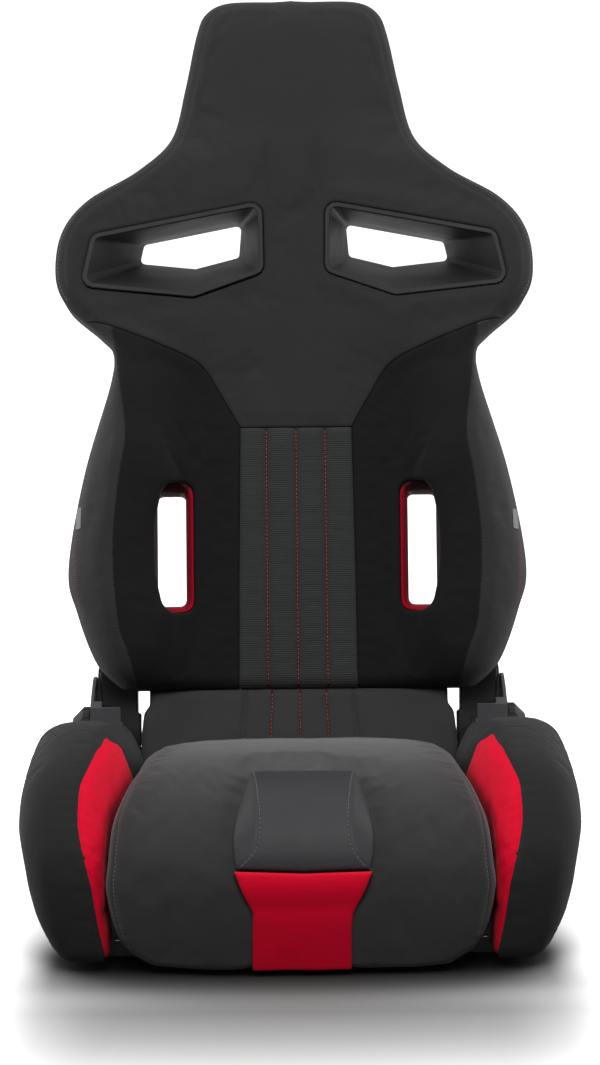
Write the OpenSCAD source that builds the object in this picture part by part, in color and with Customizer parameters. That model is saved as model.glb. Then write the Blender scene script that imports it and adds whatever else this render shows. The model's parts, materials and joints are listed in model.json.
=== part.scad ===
// Reclining racing seat: a high one-piece back with harness slots, a bolstered
// cushion on a sprung steel base, and hand-wheel recliners joined by a shaft.
// Millimetres, +Z up. The sitter faces -Y, so +X is the sitter's left.
// The origin is the centre of the four floor bolts, on the face they clamp.
// The back is drawn upright in its own frame (x, height v, depth w towards the
// sitter) with its zero on the hinge axis, and then leaned by on_back().

/* [Seat base] */
// Width of the cushion at its front edge
cushion_w = 394; // [330:1:470]
// Width of the cushion where it meets the back
cushion_rear_w = 356; // [296:1:390]
// Height of the cushion's crest above the floor face
cushion_h = 186; // [155:1:224]
// From the floor bolts' centre forward to the front of the cushion
cushion_front = 288; // [240:1:346]
// Width over the two base bolsters
base_w = 568; // [466:1:682]
// Height of the base bolsters above the floor face
bolster_h = 221; // [184:1:266]

/* [Floor mounting] */
// Distance between the floor bolts, side to side
mount_x = 380; // [316:1:400]
// Distance between the floor bolts, front to back
mount_y = 300; // [250:1:330]
// Diameter of the floor bolt holes
mount_hole_d = 9; // [7:0.5:11]

/* [Steel work] */
// Sheet thickness of the pressed side members
sheet_t = 2.5; // [2:0.1:3.5]
// Height of the side members
member_h = 64; // [54:1:66]
// Thickness of the recliner plates and arms
plate_t = 5; // [4:0.5:6]
// Diameter of the seat's cross tubes
seat_tube_d = 25; // [20:1:30]
// Diameter of the backrest's hoop tube
hoop_d = 22; // [18:0.5:26]
// Wall of every tube
tube_wall = 2; // [1.5:0.1:2.5]
// Diameter of the spring wire
wire_d = 3.4; // [2.8:0.1:4.2]
// Number of springs under the cushion
seat_spring_n = 4; // [2:1:5]
// Number of springs behind the lumbar pad
back_spring_n = 3; // [1:1:3]

/* [Recliner] */
// Height of the hinge axis above the floor face
hinge_h = 110; // [100:1:132]
// Hinge axis behind the floor bolts' centre
hinge_y = 200; // [190:1:240]
// Lean of the back from upright at rest, in degrees
recline = 15; // [8:1:20]
// Diameter of the recliner gear's housing
disc_d = 74; // [62:1:84]
// Thickness of the recliner gear, housing and disc together
disc_t = 14; // [12:0.5:18]
// Diameter of the shaft that joins the two recliners
shaft_d = 12; // [10:0.5:14]
// Diameter of the hand wheels
knob_d = 92; // [76:1:104]
// Thickness of the hand wheels
knob_t = 22; // [18:1:26]
// Number of finger hollows round a hand wheel
knob_grips = 10; // [6:1:14]

/* [Backrest outline] */
// Hinge axis up to the back's lower edge
skirt_v = 64; // [60:1:76]
// Lower edge up to the widest point of the lumbar bolsters
lumbar_up = 136; // [112:1:165]
// Widest lumbar point up to the waist
waist_up = 232; // [195:1:280]
// Waist up to the widest point of the shoulders
shoulder_up = 100; // [90:1:120]
// Widest shoulder point up to the neck
neck_up = 157; // [140:1:190]
// Neck up to the top of the head rest
head_up = 159; // [130:1:191]
// Width over the lumbar bolsters
lumbar_w = 511; // [480:1:614]
// Width at the waist
waist_w = 411; // [390:1:440]
// Width over the shoulder wings
shoulder_w = 536; // [500:1:644]
// Width of the neck
neck_w = 275; // [225:1:330]
// Width of the head rest near its top
head_w = 216; // [176:1:260]

/* [Backrest depth] */
// Front of the pads at the middle of the back
pad_front = 52; // [44:1:62]
// Front of the lumbar bolsters' ridges
ridge_front = 128; // [106:1:150]
// Front of the shoulder wings' tips
wing_front = 98; // [82:1:116]
// Rear face of the cover behind the back
cover_back = 38; // [34:1:46]
// Half the width of the stitched middle panel
panel_half = 62; // [52:1:74]

/* [Slots] */
// Wall of the plastic slot frames
bezel_t = 3; // [2:0.1:4]
// Height of a lumbar slot at the pad's face
lumbar_slot_h = 140; // [117:1:168]
// Width of a lumbar slot at the pad's face
lumbar_slot_w = 46; // [40:1:50]

/* [Hidden] */

// Clearances
run = 0.3;          // beside anything that turns, and round soft parts
seam = 0.6;         // between two sewn pads
seat_gap = 0.4;     // foam to the metal that carries it
bore_gap = 0.2;     // bolt in its hole
eps = 0.5;          // how far a cutter reaches past the face it cuts

// Finishes
black_fabric = [0.13, 0.13, 0.13];
grey_fabric = [0.23, 0.23, 0.235];
black_hide = [0.17, 0.17, 0.18];
red_fabric = [0.68, 0.02, 0.08];
black_plastic = [0.09, 0.09, 0.095];
grey_plastic = [0.24, 0.24, 0.25];
black_steel = [0.07, 0.07, 0.075];
zinc = [0.72, 0.73, 0.74];

// Heights on the back, from the hinge axis
lumbar_v = skirt_v + lumbar_up;
waist_v = lumbar_v + waist_up;
shoulder_v = waist_v + shoulder_up;
neck_v = shoulder_v + neck_up;
top_v = neck_v + head_up;

// Stack across one hinge, from the cushion outwards
arm_x = cushion_rear_w / 2 + 16;
disc_x = arm_x + plate_t;
housing_x = disc_x + disc_t / 2;
plate_x = disc_x + disc_t;
cover_x = plate_x + plate_t + 10;
cover_t = 3.5;
knob_x = cover_x + cover_t + 2;
knob_end = knob_x + knob_t;

// Seat base
floor_gap = 3;                                // fabric above the floor face
mount_edge = 20;                              // flange beyond a floor bolt
member_front = -mount_y / 2 - 42;
member_rear = hinge_y + 36;
front_tube_y = member_front + 27;
front_tube_z = member_h - 18;
rear_tube_y = hinge_y - 70;
rear_tube_z = member_h - 28;
seat_tube_r = seat_tube_d / 2;
wire_r = wire_d / 2;
seat_lift = seat_tube_r + wire_r + 0.8;       // wire above the tubes' axis
clip_top = wire_r + 1.2;                      // clip above the wire's axis
lower_pad_r = pad_front - 6;                  // round end of the lower back pad
plate_bolt_d = 10;
plate_bolt_y = [hinge_y - 110, hinge_y - 40, hinge_y + 20];
plate_bolt_z = member_h * 0.52;
plate_foot_z = 8;

// Backrest steel
pad_back = 1.5;                               // pads' flat backs
hoop_r = hoop_d / 2;
hoop_w = pad_back - seat_gap - hoop_r;        // hoop lies just behind the pads
cross_r = 8;
cross_w = hoop_w - 3;
lug_x = arm_x - plate_t;
lug_half = 15;
lug_v = [skirt_v + 4, skirt_v + 111];
hoop_x = lug_x + 1 - hoop_r;                  // 1 mm of weld in the lug
hoop_start = skirt_v + 50;
arm_w = hoop_w - 4;                           // middle of the arms inside the cover
arm_bolt_d = 8;
arm_bolt_v = [skirt_v + 16, skirt_v + 36];
cap_t = 3.5;                                  // plastic cap over the arm
cap_x = cover_x - cap_t - 1.5;
cap_low = skirt_v - 13;
cap_top = skirt_v + 26;
back_lift = cross_r + wire_r + 0.5;
cover_wall = 3;

// Slots
lumbar_slot_v = skirt_v + 158;                // middle of the slot
slot_to_hoop = 27.5;                          // middle of the slot to the hoop tube
lumbar_slot_x = hoop_x - hoop_r - slot_to_hoop;

// ---------- shapes ----------

function unit(v) = v / norm(v);

function catmull(a, b, c, d, t) =
    0.5 * (2 * b + (c - a) * t + (2 * a - 5 * b + 4 * c - d) * t * t
        + (3 * b - a - 3 * c + d) * t * t * t);

// A smooth curve through the points p, with n steps between two of them
function spline(p, n) = concat(
    [for (i = [0:len(p) - 2], k = [0:n - 1])
        catmull(p[max(i - 1, 0)], p[i], p[i + 1], p[min(i + 2, len(p) - 1)], k / n)],
    [p[len(p) - 1]]);

// A right half outline, and its mirror image going back down
function both_halves(p) = concat(p, [for (i = [len(p) - 1:-1:0]) [-p[i][0], p[i][1]]]);

// A closed anticlockwise outline, moved inwards by d
function inset(p, d) = [for (i = [0:len(p) - 1])
    let (n = len(p), a = unit(p[i] - p[(i + n - 1) % n]), b = unit(p[(i + 1) % n] - p[i]),
        na = [-a[1], a[0]], nb = [-b[1], b[0]], m = unit(na + nb))
    p[i] + m * d / max(0.5, m * na)];

// The arc that rounds corner b of the path a, b, c
function fillet(a, b, c, r, steps) =
    let (u = unit(a - b), w = unit(c - b), half = acos(u * w) / 2,
        reach = r / tan(half), centre = b + unit(u + w) * r / sin(half),
        e1 = unit(b + u * reach - centre), q = b + w * reach - centre,
        e2 = unit(q - (q * e1) * e1), turn = 180 - 2 * half)
    [for (i = [0:steps]) let (f = turn * i / steps) centre + r * (cos(f) * e1 + sin(f) * e2)];

function rounded(p, r, steps) = concat([p[0]],
    [for (i = [1:len(p) - 2]) each fillet(p[i - 1], p[i], p[i + 1], r, steps)],
    [p[len(p) - 1]]);

// A closed polygon with every corner rounded
function rounded_loop(p, r, steps) = [for (i = [0:len(p) - 1])
    let (n = len(p)) each fillet(p[(i + n - 1) % n], p[i], p[(i + 1) % n], r, steps)];

// Direction of a path at point i
function heading(p, i) = unit(p[min(i + 1, len(p) - 1)] - p[max(i - 1, 0)]);

// Rings of a round bar along a path that lies in the plane whose normal is n
function bar_rings(p, n, r, sides) = [for (i = [0:len(p) - 1])
    let (b = cross(heading(p, i), n))
    [for (k = [0:sides - 1]) p[i] + r * (cos(360 * k / sides) * b + sin(360 * k / sides) * n)]];

function side_faces(m, n) = [for (j = [0:m - 2], k = [0:n - 1])
    let (a = j * n + k, b = j * n + (k + 1) % n) each [[a, b, b + n], [a, b + n, a + n]]];

// A flat end in strips, from each point to the one across the ring
function end_faces(n, from, out) = [for (k = [0:floor(n / 2) - 2])
    let (a = from + k, b = from + k + 1, c = from + n - 2 - k, d = from + n - 1 - k)
    each (out ? [[a, b, c], [a, c, d]] : [[a, c, b], [a, d, c]])];

// A solid through rings of equally many points, closed by flat ends
module loft(rings) {
    n = len(rings[0]);
    m = len(rings);
    polyhedron(
        points = [for (r = rings) each r],
        faces = concat(end_faces(n, 0, false), side_faces(m, n),
            end_faces(n, (m - 1) * n, true)),
        convexity = 8);
}

// A solid whose rings close on themselves, like the wall of a tube
module ring_loft(rings) {
    n = len(rings[0]);
    m = len(rings);
    polyhedron(
        points = [for (r = rings) each r],
        faces = [for (j = [0:m - 1], k = [0:n - 1])
            let (a = j * n + k, b = j * n + (k + 1) % n, c = ((j + 1) % m) * n,
                d = c + (k + 1) % n) each [[a, b, d], [a, d, c + k]]],
        convexity = 8);
}

// A bar along a plane path
module bar(p, n, r, sides) { loft(bar_rings(p, n, r, sides)); }

// A tube along a plane path
module pipe(p, n, r, wall, sides) {
    outer = bar_rings(p, n, r, sides);
    inner = bar_rings(p, n, r - wall, sides);
    ring_loft(concat(outer, [for (i = [len(inner) - 1:-1:0]) inner[i]]));
}

// A cylinder along X, from x0 to x1, at (y, z)
module x_rod(x0, x1, y, z, r) {
    translate([x0, y, z]) rotate([0, 90, 0]) cylinder(h = x1 - x0, r = r, $fn = 64);
}

// A ring along X with a bore
module x_ring(x0, x1, y, z, r, bore) {
    difference() {
        x_rod(x0, x1, y, z, r);
        x_rod(x0 - eps, x1 + eps, y, z, bore);
    }
}

// A hexagon along X
module x_hex(x0, x1, y, z, flats) {
    translate([x0, y, z]) rotate([0, 90, 0])
        cylinder(h = x1 - x0, r = flats / sqrt(3), $fn = 6);
}

// A (y, z) outline, as thick as x0 to x1
module x_slab(x0, x1) {
    translate([x0, 0, 0]) rotate([90, 0, 90]) linear_extrude(x1 - x0) children();
}

// The back's frame: (x, -w, v) upright becomes the leaned back
module on_back() {
    translate([0, hinge_y, hinge_h]) rotate([-recline, 0, 0]) children();
}

// An (x, v) outline, as deep as w0 to w1
module w_slab(w0, w1) {
    translate([0, -w0, 0]) rotate([90, 0, 0]) linear_extrude(w1 - w0) children();
}

// The same thing on the sitter's right
module mirrored(right) { mirror([right ? 1 : 0, 0, 0]) children(); }

// Zigzag spring from y = 0 to about y = length, about x = 0, with its end legs along X
spring_w = 46;
spring_pitch = 21;
module zigzag(length) {
    legs = round(length / spring_pitch);
    pitch = length / legs;
    corners = [for (i = [0:legs]) each
        let (s = i % 2 == 0 ? 1 : -1) [[-s * spring_w / 2, i * pitch, 0],
            [s * spring_w / 2, i * pitch, 0]]];
    bar(rounded(corners, pitch * 0.49, 2), [0, 0, 1], wire_r, 6);
}

// Clip that holds a spring's end leg on a tube, which lies along X below the wire
clip_w = 14;
clip_half = 6;
module spring_clip(tube_r, lift) {
    difference() {
        translate([-clip_w / 2, -clip_half, -lift + tube_r - 3])
            cube([clip_w, 2 * clip_half, lift - tube_r + 3 + clip_top]);
        x_rod(-clip_w, clip_w, 0, -lift, tube_r + bore_gap);
        x_rod(-clip_w, clip_w, 0, 0, wire_r + bore_gap);
    }
}

// ---------- seat base ----------

// One pressed member: web, floor flange and stiffening lip
module side_member() {
    flange_in = min(plate_x - sheet_t, mount_x / 2 - mount_edge);
    flange_out = max(plate_x, mount_x / 2 + mount_edge);
    lightening = [for (k = [0:2]) member_front + 78 + 62 * k];
    color(black_steel) difference() {
        union() {
            x_slab(plate_x - sheet_t, plate_x) polygon([
                [member_front, 0], [member_rear, 0], [member_rear, member_h - 14],
                [member_rear - 14, member_h], [member_front + 14, member_h],
                [member_front, member_h - 14]]);
            translate([flange_in, member_front, 0])
                cube([flange_out - flange_in, member_rear - member_front, sheet_t]);
            translate([plate_x - 13, member_front + 14, member_h - sheet_t])
                cube([13, rear_tube_y - member_front - 14, sheet_t]);
        }
        for (y = [-mount_y / 2, mount_y / 2])
            translate([mount_x / 2, y, -eps])
                cylinder(h = sheet_t + 2 * eps, d = mount_hole_d, $fn = 64);
        for (y = lightening)
            x_rod(plate_x - sheet_t - eps, plate_x + eps, y, member_h * 0.5, member_h * 0.2);
        for (y = plate_bolt_y)
            x_rod(plate_x - sheet_t - eps, plate_x + eps, y, plate_bolt_z,
                plate_bolt_d / 2 + bore_gap);
    }
}

module seat_tube(y, z) {
    half = plate_x - sheet_t;
    color(black_steel) x_ring(-half, half, y, z, seat_tube_r, seat_tube_r - tube_wall);
}

// The springs' line from the front tube back to the rear tube
spring_run = rear_tube_y - front_tube_y;
spring_drop = front_tube_z - rear_tube_z;
spring_len = sqrt(spring_run * spring_run + spring_drop * spring_drop);
spring_tilt = -atan(spring_drop / spring_run);
spring_step = (cushion_rear_w - 60) / seat_spring_n;
seat_spring_x = [for (i = [0:seat_spring_n - 1]) (i - (seat_spring_n - 1) / 2) * spring_step];

module on_spring_line() {
    translate([0, front_tube_y, front_tube_z]) rotate([spring_tilt, 0, 0])
        translate([0, 0, seat_lift]) children();
}

module seat_springs() {
    color(black_steel) on_spring_line() for (x = seat_spring_x)
        translate([x, 0, 0]) zigzag(spring_len);
}

module seat_spring_clips() {
    color(zinc) on_spring_line() for (x = seat_spring_x, y = [0, spring_len])
        translate([x, y, 0]) spring_clip(seat_tube_r, seat_lift);
}

// Top of the cushion from the hinge forward and down round the nose, as (y, z)
nose_y = -cushion_front;
cushion_rear_z = cushion_h - 54;
cushion_top = spline([
    [hinge_y - lower_pad_r - 8, cushion_rear_z], [hinge_y - 120, cushion_rear_z + 16],
    [hinge_y - 230, cushion_h - 11], [nose_y + 166, cushion_h],
    [nose_y + 96, cushion_h - 8], [nose_y + 38, cushion_h - 32],
    [nose_y + 6, cushion_h - 70], [nose_y + 3, cushion_h * 0.4],
    [nose_y + 26, floor_gap]], 5);
apron_y = member_front - 4;               // rear of the foam before the members
foam_lift = seat_lift + clip_top + seat_gap;

module cushion_side() {
    polygon(concat(cushion_top, [
        [apron_y, floor_gap], [apron_y, front_tube_z + foam_lift],
        [front_tube_y, front_tube_z + foam_lift],
        [rear_tube_y, rear_tube_z + foam_lift],
        [hinge_y, rear_tube_z + foam_lift]]));
}

module seat_cushion() {
    front = cushion_w / 2;
    rear = cushion_rear_w / 2;
    color(grey_fabric) difference() {
        intersection() {
            x_slab(-front, front) cushion_side();
            linear_extrude(2 * cushion_h) polygon(both_halves([
                [front - 20, nose_y - 1], [front, nose_y + 36], [front, nose_y + 90],
                [rear, nose_y + 190], [rear, hinge_y]]));
            // Lower corners cut away under the bolsters' edges
            rotate([90, 0, 0]) translate([0, 0, -hinge_y])
                linear_extrude(hinge_y + cushion_front + 1) polygon(both_halves([
                    [front - 38, 0], [front - 12, 34], [front, 76], [front, 2 * cushion_h]]));
        }
        x_rod(-front, front, hinge_y, hinge_h, lower_pad_r + 1);
        // Room for the side members' lips
        for (s = [false, true]) mirrored(s)
            translate([plate_x - 13 - seat_gap, member_front - 1, -eps])
                cube([60, member_rear - member_front, member_h + seat_gap + eps]);
    }
}

// Raised block between the thighs, on the cushion's rounded front
pommel_half = 70;
pommel_rise = 15;
module pommel_pad() {
    first = 19;                            // where it starts along cushion_top
    last = 30;
    foot = [for (i = [first:last]) cushion_top[i] + outward(i) * run];
    rise = [for (i = [last:-1:first])
        cushion_top[i] + outward(i) * (1 + pommel_rise * sin(180 * (i - first) / (last - first)))];
    color(black_hide) intersection() {
        x_slab(-pommel_half, pommel_half) polygon(concat(foot, rise));
        linear_extrude(2 * cushion_h) polygon(both_halves([
            [pommel_half - 2, nose_y - 20], [pommel_half, nose_y + 26],
            [pommel_half - 12, nose_y + 90], [pommel_half - 18, nose_y + 200]]));
    }
}

// Sewn facing that runs from the block down the cushion's front, waisted below it
apron_t = 2.5;
module pommel_apron() {
    first = 30;
    last = len(cushion_top) - 1;
    under = [for (i = [first:last]) cushion_top[i] + outward(i) * run];
    over = [for (i = [last:-1:first]) cushion_top[i] + outward(i) * (run + apron_t)];
    color(red_fabric) intersection() {
        x_slab(-pommel_half, pommel_half) polygon(concat(under, over));
        translate([0, front_tube_y, 0]) rotate([90, 0, 0])
            linear_extrude(front_tube_y - nose_y + 20) polygon(both_halves([
                [pommel_half - 20, floor_gap + 5], [pommel_half - 21, cushion_h * 0.38],
                [pommel_half - 4, cushion_h - 72]]));
    }
}

// Outward normal of the cushion's top at point i
function outward(i) = let (t = heading(cushion_top, i)) [t[1], -t[0]];

// Base bolster: front view, side view and plan outlines, crossed
bolster_out = base_w / 2;
bolster_in = cushion_w / 2 + 2;
bolster_rear_y = hinge_y - 92;
module bolster_shape() {
    outer = bolster_out;
    inner = bolster_in;
    rear_in = cushion_rear_w / 2 + 4;
    rear_y = bolster_rear_y;
    front_view = concat([[rear_in, floor_gap], [outer - 54, floor_gap]],
        spline([[outer - 45, floor_gap + 6], [outer - 21, 56], [outer - 1, bolster_h * 0.54],
            [outer, bolster_h * 0.65], [outer - 11, bolster_h * 0.84],
            [outer - 32, bolster_h - 6], [outer - 50, bolster_h], [outer - 66, bolster_h - 14]], 4),
        [[rear_in, bolster_h * 0.7]]);
    side_view = concat([[rear_y, floor_gap + 12], [rear_y, bolster_h - 92]],
        spline([[rear_y - 10, bolster_h - 74], [rear_y - 70, bolster_h - 32],
            [rear_y - 170, bolster_h - 4], [nose_y + 150, bolster_h],
            [nose_y + 74, bolster_h - 20], [nose_y + 24, bolster_h * 0.68],
            [nose_y + 10, bolster_h * 0.46], [nose_y + 34, floor_gap + 8]], 4),
        [[nose_y + 44, floor_gap], [rear_y - 10, floor_gap]]);
    difference() {
        intersection() {
            x_slab(rear_in - 1, outer + 1) polygon(side_view);
            translate([0, rear_y + 1, 0]) rotate([90, 0, 0])
                linear_extrude(rear_y - nose_y + 2) polygon(front_view);
            linear_extrude(2 * bolster_h) polygon([
                [inner + 14, nose_y - 1], [outer - 26, nose_y - 1], [outer - 8, nose_y + 60],
                [outer + 1, nose_y + 120], [outer + 1, rear_y - 60], [outer - 24, rear_y + 1],
                [rear_in, rear_y + 1], [rear_in, nose_y + 192], [inner, nose_y + 92],
                [inner, nose_y + 30]]);
        }
        // Room for the side member and the recliner plate bolted to it
        translate([0, member_front - 1, -eps])
            cube([plate_x + plate_t + 9, rear_y - member_front + 2,
                member_h + seat_gap + eps]);
    }
}

// Everything inboard of the seam along a bolster's ridge, which is moved out by d
module inboard_of_ridge(d) {
    ridge = bolster_out - 59 + d;
    foot = bolster_h * 0.22 - d;
    translate([0, bolster_rear_y + 2, 0]) rotate([90, 0, 0])
        linear_extrude(bolster_rear_y - nose_y + 4) polygon(concat(
            [[0, bolster_h + 2], [0, foot]],
            spline([[bolster_in - 3 + d, foot], [bolster_in + 8 + d, bolster_h * 0.45],
                [ridge - 4, bolster_h * 0.59], [ridge, bolster_h * 0.72],
                [ridge, bolster_h * 0.84]], 3),
            [[ridge, bolster_h + 2]]));
}

module base_bolster() {
    color(black_fabric) difference() {
        bolster_shape();
        inboard_of_ridge(seam / 2);
    }
}

// The bolster's inner flank, in its own foam-backed cover
module bolster_facing() {
    color(red_fabric) intersection() {
        bolster_shape();
        inboard_of_ridge(-seam / 2);
    }
}

// ---------- recliner, base side ----------

cover_screw_at = [[hinge_y - 52, hinge_h - 38], [hinge_y + 34, member_h - 16]];
cover_screw_d = 5;

module base_plate() {
    foot_front = plate_bolt_y[0] - 16;
    color(black_steel) difference() {
        x_slab(plate_x, plate_x + plate_t) difference() {
            union() {
                translate([hinge_y, hinge_h]) circle(r = disc_d / 2 + 6, $fn = 96);
                polygon([[foot_front, plate_foot_z], [member_rear - 2, plate_foot_z],
                    [member_rear - 2, member_h], [hinge_y + disc_d / 2 + 3, hinge_h - 12],
                    [hinge_y - disc_d / 2 - 3, hinge_h - 12], [hinge_y - 80, member_h - 4],
                    [foot_front, member_h - 14]]);
            }
            translate([hinge_y, hinge_h]) circle(r = shaft_d / 2 + 5 + bore_gap, $fn = 64);
            for (y = plate_bolt_y)
                translate([y, plate_bolt_z]) circle(d = plate_bolt_d + 2 * bore_gap, $fn = 48);
            for (p = cover_screw_at)
                translate(p) circle(d = cover_screw_d + 2 * bore_gap, $fn = 32);
        }
    }
}

// Hex bolts through the plate and the member
module plate_bolts() {
    nut_x = plate_x - sheet_t;
    color(zinc) for (s = [false, true]) mirrored(s) for (y = plate_bolt_y) {
        x_hex(plate_x + plate_t, plate_x + plate_t + 6.4, y, plate_bolt_z, 17);
        x_rod(nut_x - 11, plate_x + plate_t + 1, y, plate_bolt_z, plate_bolt_d / 2);
    }
}

module plate_nuts() {
    nut_x = plate_x - sheet_t;
    color(zinc) for (s = [false, true]) mirrored(s) for (y = plate_bolt_y)
        difference() {
            x_hex(nut_x - 8.4, nut_x, y, plate_bolt_z, 17);
            x_rod(nut_x - 9, nut_x + eps, y, plate_bolt_z, plate_bolt_d / 2 + 0.1);
        }
}

// Fixed half of the rotary gear: a dished housing with riveting bosses
module recliner_housing() {
    color(zinc) difference() {
        union() {
            x_rod(housing_x + run / 2, plate_x, hinge_y, hinge_h, disc_d / 2);
            x_rod(plate_x - 1, cover_x - 3, hinge_y, hinge_h, shaft_d / 2 + 5);
        }
        x_rod(housing_x - 1, cover_x, hinge_y, hinge_h, shaft_d / 2 + run);
        for (a = [0:60:300])
            x_rod(housing_x - 1, housing_x + 2, hinge_y + disc_d * 0.34 * cos(a),
                hinge_h + disc_d * 0.34 * sin(a), disc_d * 0.07);
    }
}

// Plastic cover over the recliner: outer wall, rim and screw bosses
cover_r = disc_d / 2 + 44;
module cover_outline(d) {
    front = hinge_y - 68 + d;
    rear = hinge_y + 66 - d;
    low = 14 + d;
    polygon(concat(
        [[front + 10, low], [rear - 10, low], [rear, low + 10]],
        [for (a = [0:12:96]) [hinge_y + (66 - d) * cos(a), hinge_h + (cover_r - d) * sin(a)]],
        [[hinge_y - 34, hinge_h + cover_r * 0.93 - d], [hinge_y - 54 + d, hinge_h + 68 - d],
            [front, hinge_h + 64 - d], [front, low + 10]]));
}

module side_cover() {
    rim = plate_x + plate_t + 1;
    color(grey_plastic) difference() {
        union() {
            x_slab(cover_x, cover_x + cover_t) cover_outline(0);
            // Rim round the front, bottom and rear of the mechanism
            difference() {
                x_slab(rim, cover_x + 1) cover_outline(0);
                x_slab(rim - 1, cover_x) cover_outline(cover_t);
                translate([rim - 1, hinge_y - 54, hinge_h - 18])
                    cube([cover_x - rim + 1, 200, cover_r + 20]);
            }
            // Front wall that reaches in over the gear
            translate([arm_x + 4, hinge_y - 68, hinge_h - 34])
                cube([cover_x + 1 - arm_x - 4, cover_t, 98]);
            for (p = cover_screw_at)
                x_rod(plate_x + plate_t + run, cover_x + 1, p[0], p[1], cover_screw_d / 2 + 3);
        }
        x_rod(cover_x - 1, cover_x + cover_t + 1, hinge_y, hinge_h, shaft_d / 2 + 2);
        for (p = cover_screw_at)
            x_rod(plate_x, cover_x + cover_t + 1, p[0], p[1], cover_screw_d / 2 + bore_gap);
    }
}

module cover_screws() {
    color(black_steel) for (s = [false, true]) mirrored(s) for (p = cover_screw_at) {
        x_rod(plate_x + 0.5, cover_x + cover_t + 1, p[0], p[1], cover_screw_d / 2);
        difference() {
            x_rod(cover_x + cover_t, cover_x + cover_t + 2.6, p[0], p[1], cover_screw_d);
            x_hex(cover_x + cover_t + 1.2, cover_x + cover_t + 3, p[0], p[1], 4);
        }
    }
}

// ---------- shaft and hand wheels ----------

module cross_shaft() {
    color(zinc) x_rod(-knob_end + 8, knob_end - 8, hinge_y, hinge_h, shaft_d / 2);
}

module knob() {
    r = knob_d / 2;
    color(black_plastic) translate([0, hinge_y, hinge_h]) rotate([0, 90, 0]) difference() {
        translate([0, 0, knob_x]) rotate_extrude($fn = 96) polygon([
            [shaft_d / 2 + 0.05, -1.5], [shaft_d / 2 + 6, -1.5], [shaft_d / 2 + 8, 0],
            [r - 3, 0], [r, 3], [r, knob_t * 0.45], [r - 9, knob_t - 3], [r - 12, knob_t],
            [r - 18, knob_t], [r - 21, knob_t - 4], [shaft_d / 2 + 6, knob_t - 4],
            [shaft_d / 2 + 4, knob_t - 5], [shaft_d / 2 + 0.05, knob_t - 5]]);
        for (i = [0:knob_grips - 1]) rotate([0, 0, 360 * i / knob_grips])
            translate([r + 5, 0, knob_x - 1]) cylinder(h = knob_t + 2, r = 9, $fn = 48);
    }
}

module knob_screws() {
    head_x = knob_end - 5;
    color(zinc) for (s = [false, true]) mirrored(s) difference() {
        x_rod(head_x, head_x + 3.5, hinge_y, hinge_h, shaft_d / 2 + 3);
        x_hex(head_x + 1.2, head_x + 4, hinge_y, hinge_h, 5);
    }
}

// ---------- recliner, backrest side ----------

module arm() {
    top = lug_v[1];
    out = arm_x + plate_t;
    color(black_steel) on_back() difference() {
        union() {
            x_rod(arm_x, out, 0, 0, disc_d / 2 + 1);
            x_slab(arm_x, out) polygon([
                [-arm_w - lug_half, skirt_v - 4], [-arm_w - lug_half, top - 8],
                [-arm_w - lug_half + 8, top], [-arm_w + lug_half - 8, top],
                [-arm_w + lug_half, top - 8], [-arm_w + lug_half, skirt_v - 4],
                [disc_d * 0.44, disc_d * 0.2], [-disc_d * 0.44, disc_d * 0.2]]);
        }
        x_rod(arm_x - eps, out + eps, 0, 0, shaft_d / 2 + run);
        for (v = arm_bolt_v)
            x_rod(arm_x - eps, out + eps, -arm_w, v, arm_bolt_d / 2 + bore_gap);
    }
}

// Turning half of the rotary gear
module recliner_disc() {
    color(zinc) on_back() difference() {
        x_rod(disc_x, housing_x - run / 2, 0, 0, disc_d / 2 - 1.5);
        x_rod(disc_x - 1, housing_x + 1, 0, 0, shaft_d / 2 + run);
    }
}

// Plastic cap over the arm: a wall inside the side cover, on a shelf from the arm
module arm_cap() {
    color(black_plastic) on_back() union() {
        x_slab(cap_x, cap_x + cap_t) polygon(concat([[-20, cap_low], [26, cap_low]],
            [for (a = [0:30:180]) [3 + 23 * cos(a), cap_top - 20 + 20 * sin(a)]]));
        translate([disc_x, -18, cap_low]) cube([cap_x - disc_x + 1, 40, 4]);
    }
}

module arm_bolts() {
    color(zinc) on_back() for (s = [false, true]) mirrored(s) for (v = arm_bolt_v) {
        x_hex(arm_x + plate_t, arm_x + plate_t + 5.3, -arm_w, v, 13);
        x_rod(lug_x - 8, arm_x + plate_t + 1, -arm_w, v, arm_bolt_d / 2);
    }
}

module arm_nuts() {
    color(zinc) on_back() for (s = [false, true]) mirrored(s) for (v = arm_bolt_v)
        difference() {
            x_hex(lug_x - 6.5, lug_x, -arm_w, v, 13);
            x_rod(lug_x - 7, lug_x + eps, -arm_w, v, arm_bolt_d / 2 + 0.1);
        }
}

// ---------- backrest frame ----------

// Half of the hoop's line, as (x, v)
hoop_half = [
    [hoop_x, hoop_start], [hoop_x, hoop_start + 68],
    [(lumbar_w + waist_w) / 4 - 17, lumbar_v + 40],
    [waist_w / 2 - 30, waist_v - 10], [shoulder_w / 2 - 47, shoulder_v - 12],
    [shoulder_w / 2 - 47, shoulder_v + 44], [neck_w / 2 - 24, neck_v - 26],
    [head_w / 2 - 26, neck_v + 20], [head_w / 2 - 32, top_v - 42]];
hoop_points = [for (p = both_halves(hoop_half)) [p[0], -hoop_w, p[1]]];
cross_v = [skirt_v + 67, lumbar_slot_v + lumbar_slot_h / 2 + 20];

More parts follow.
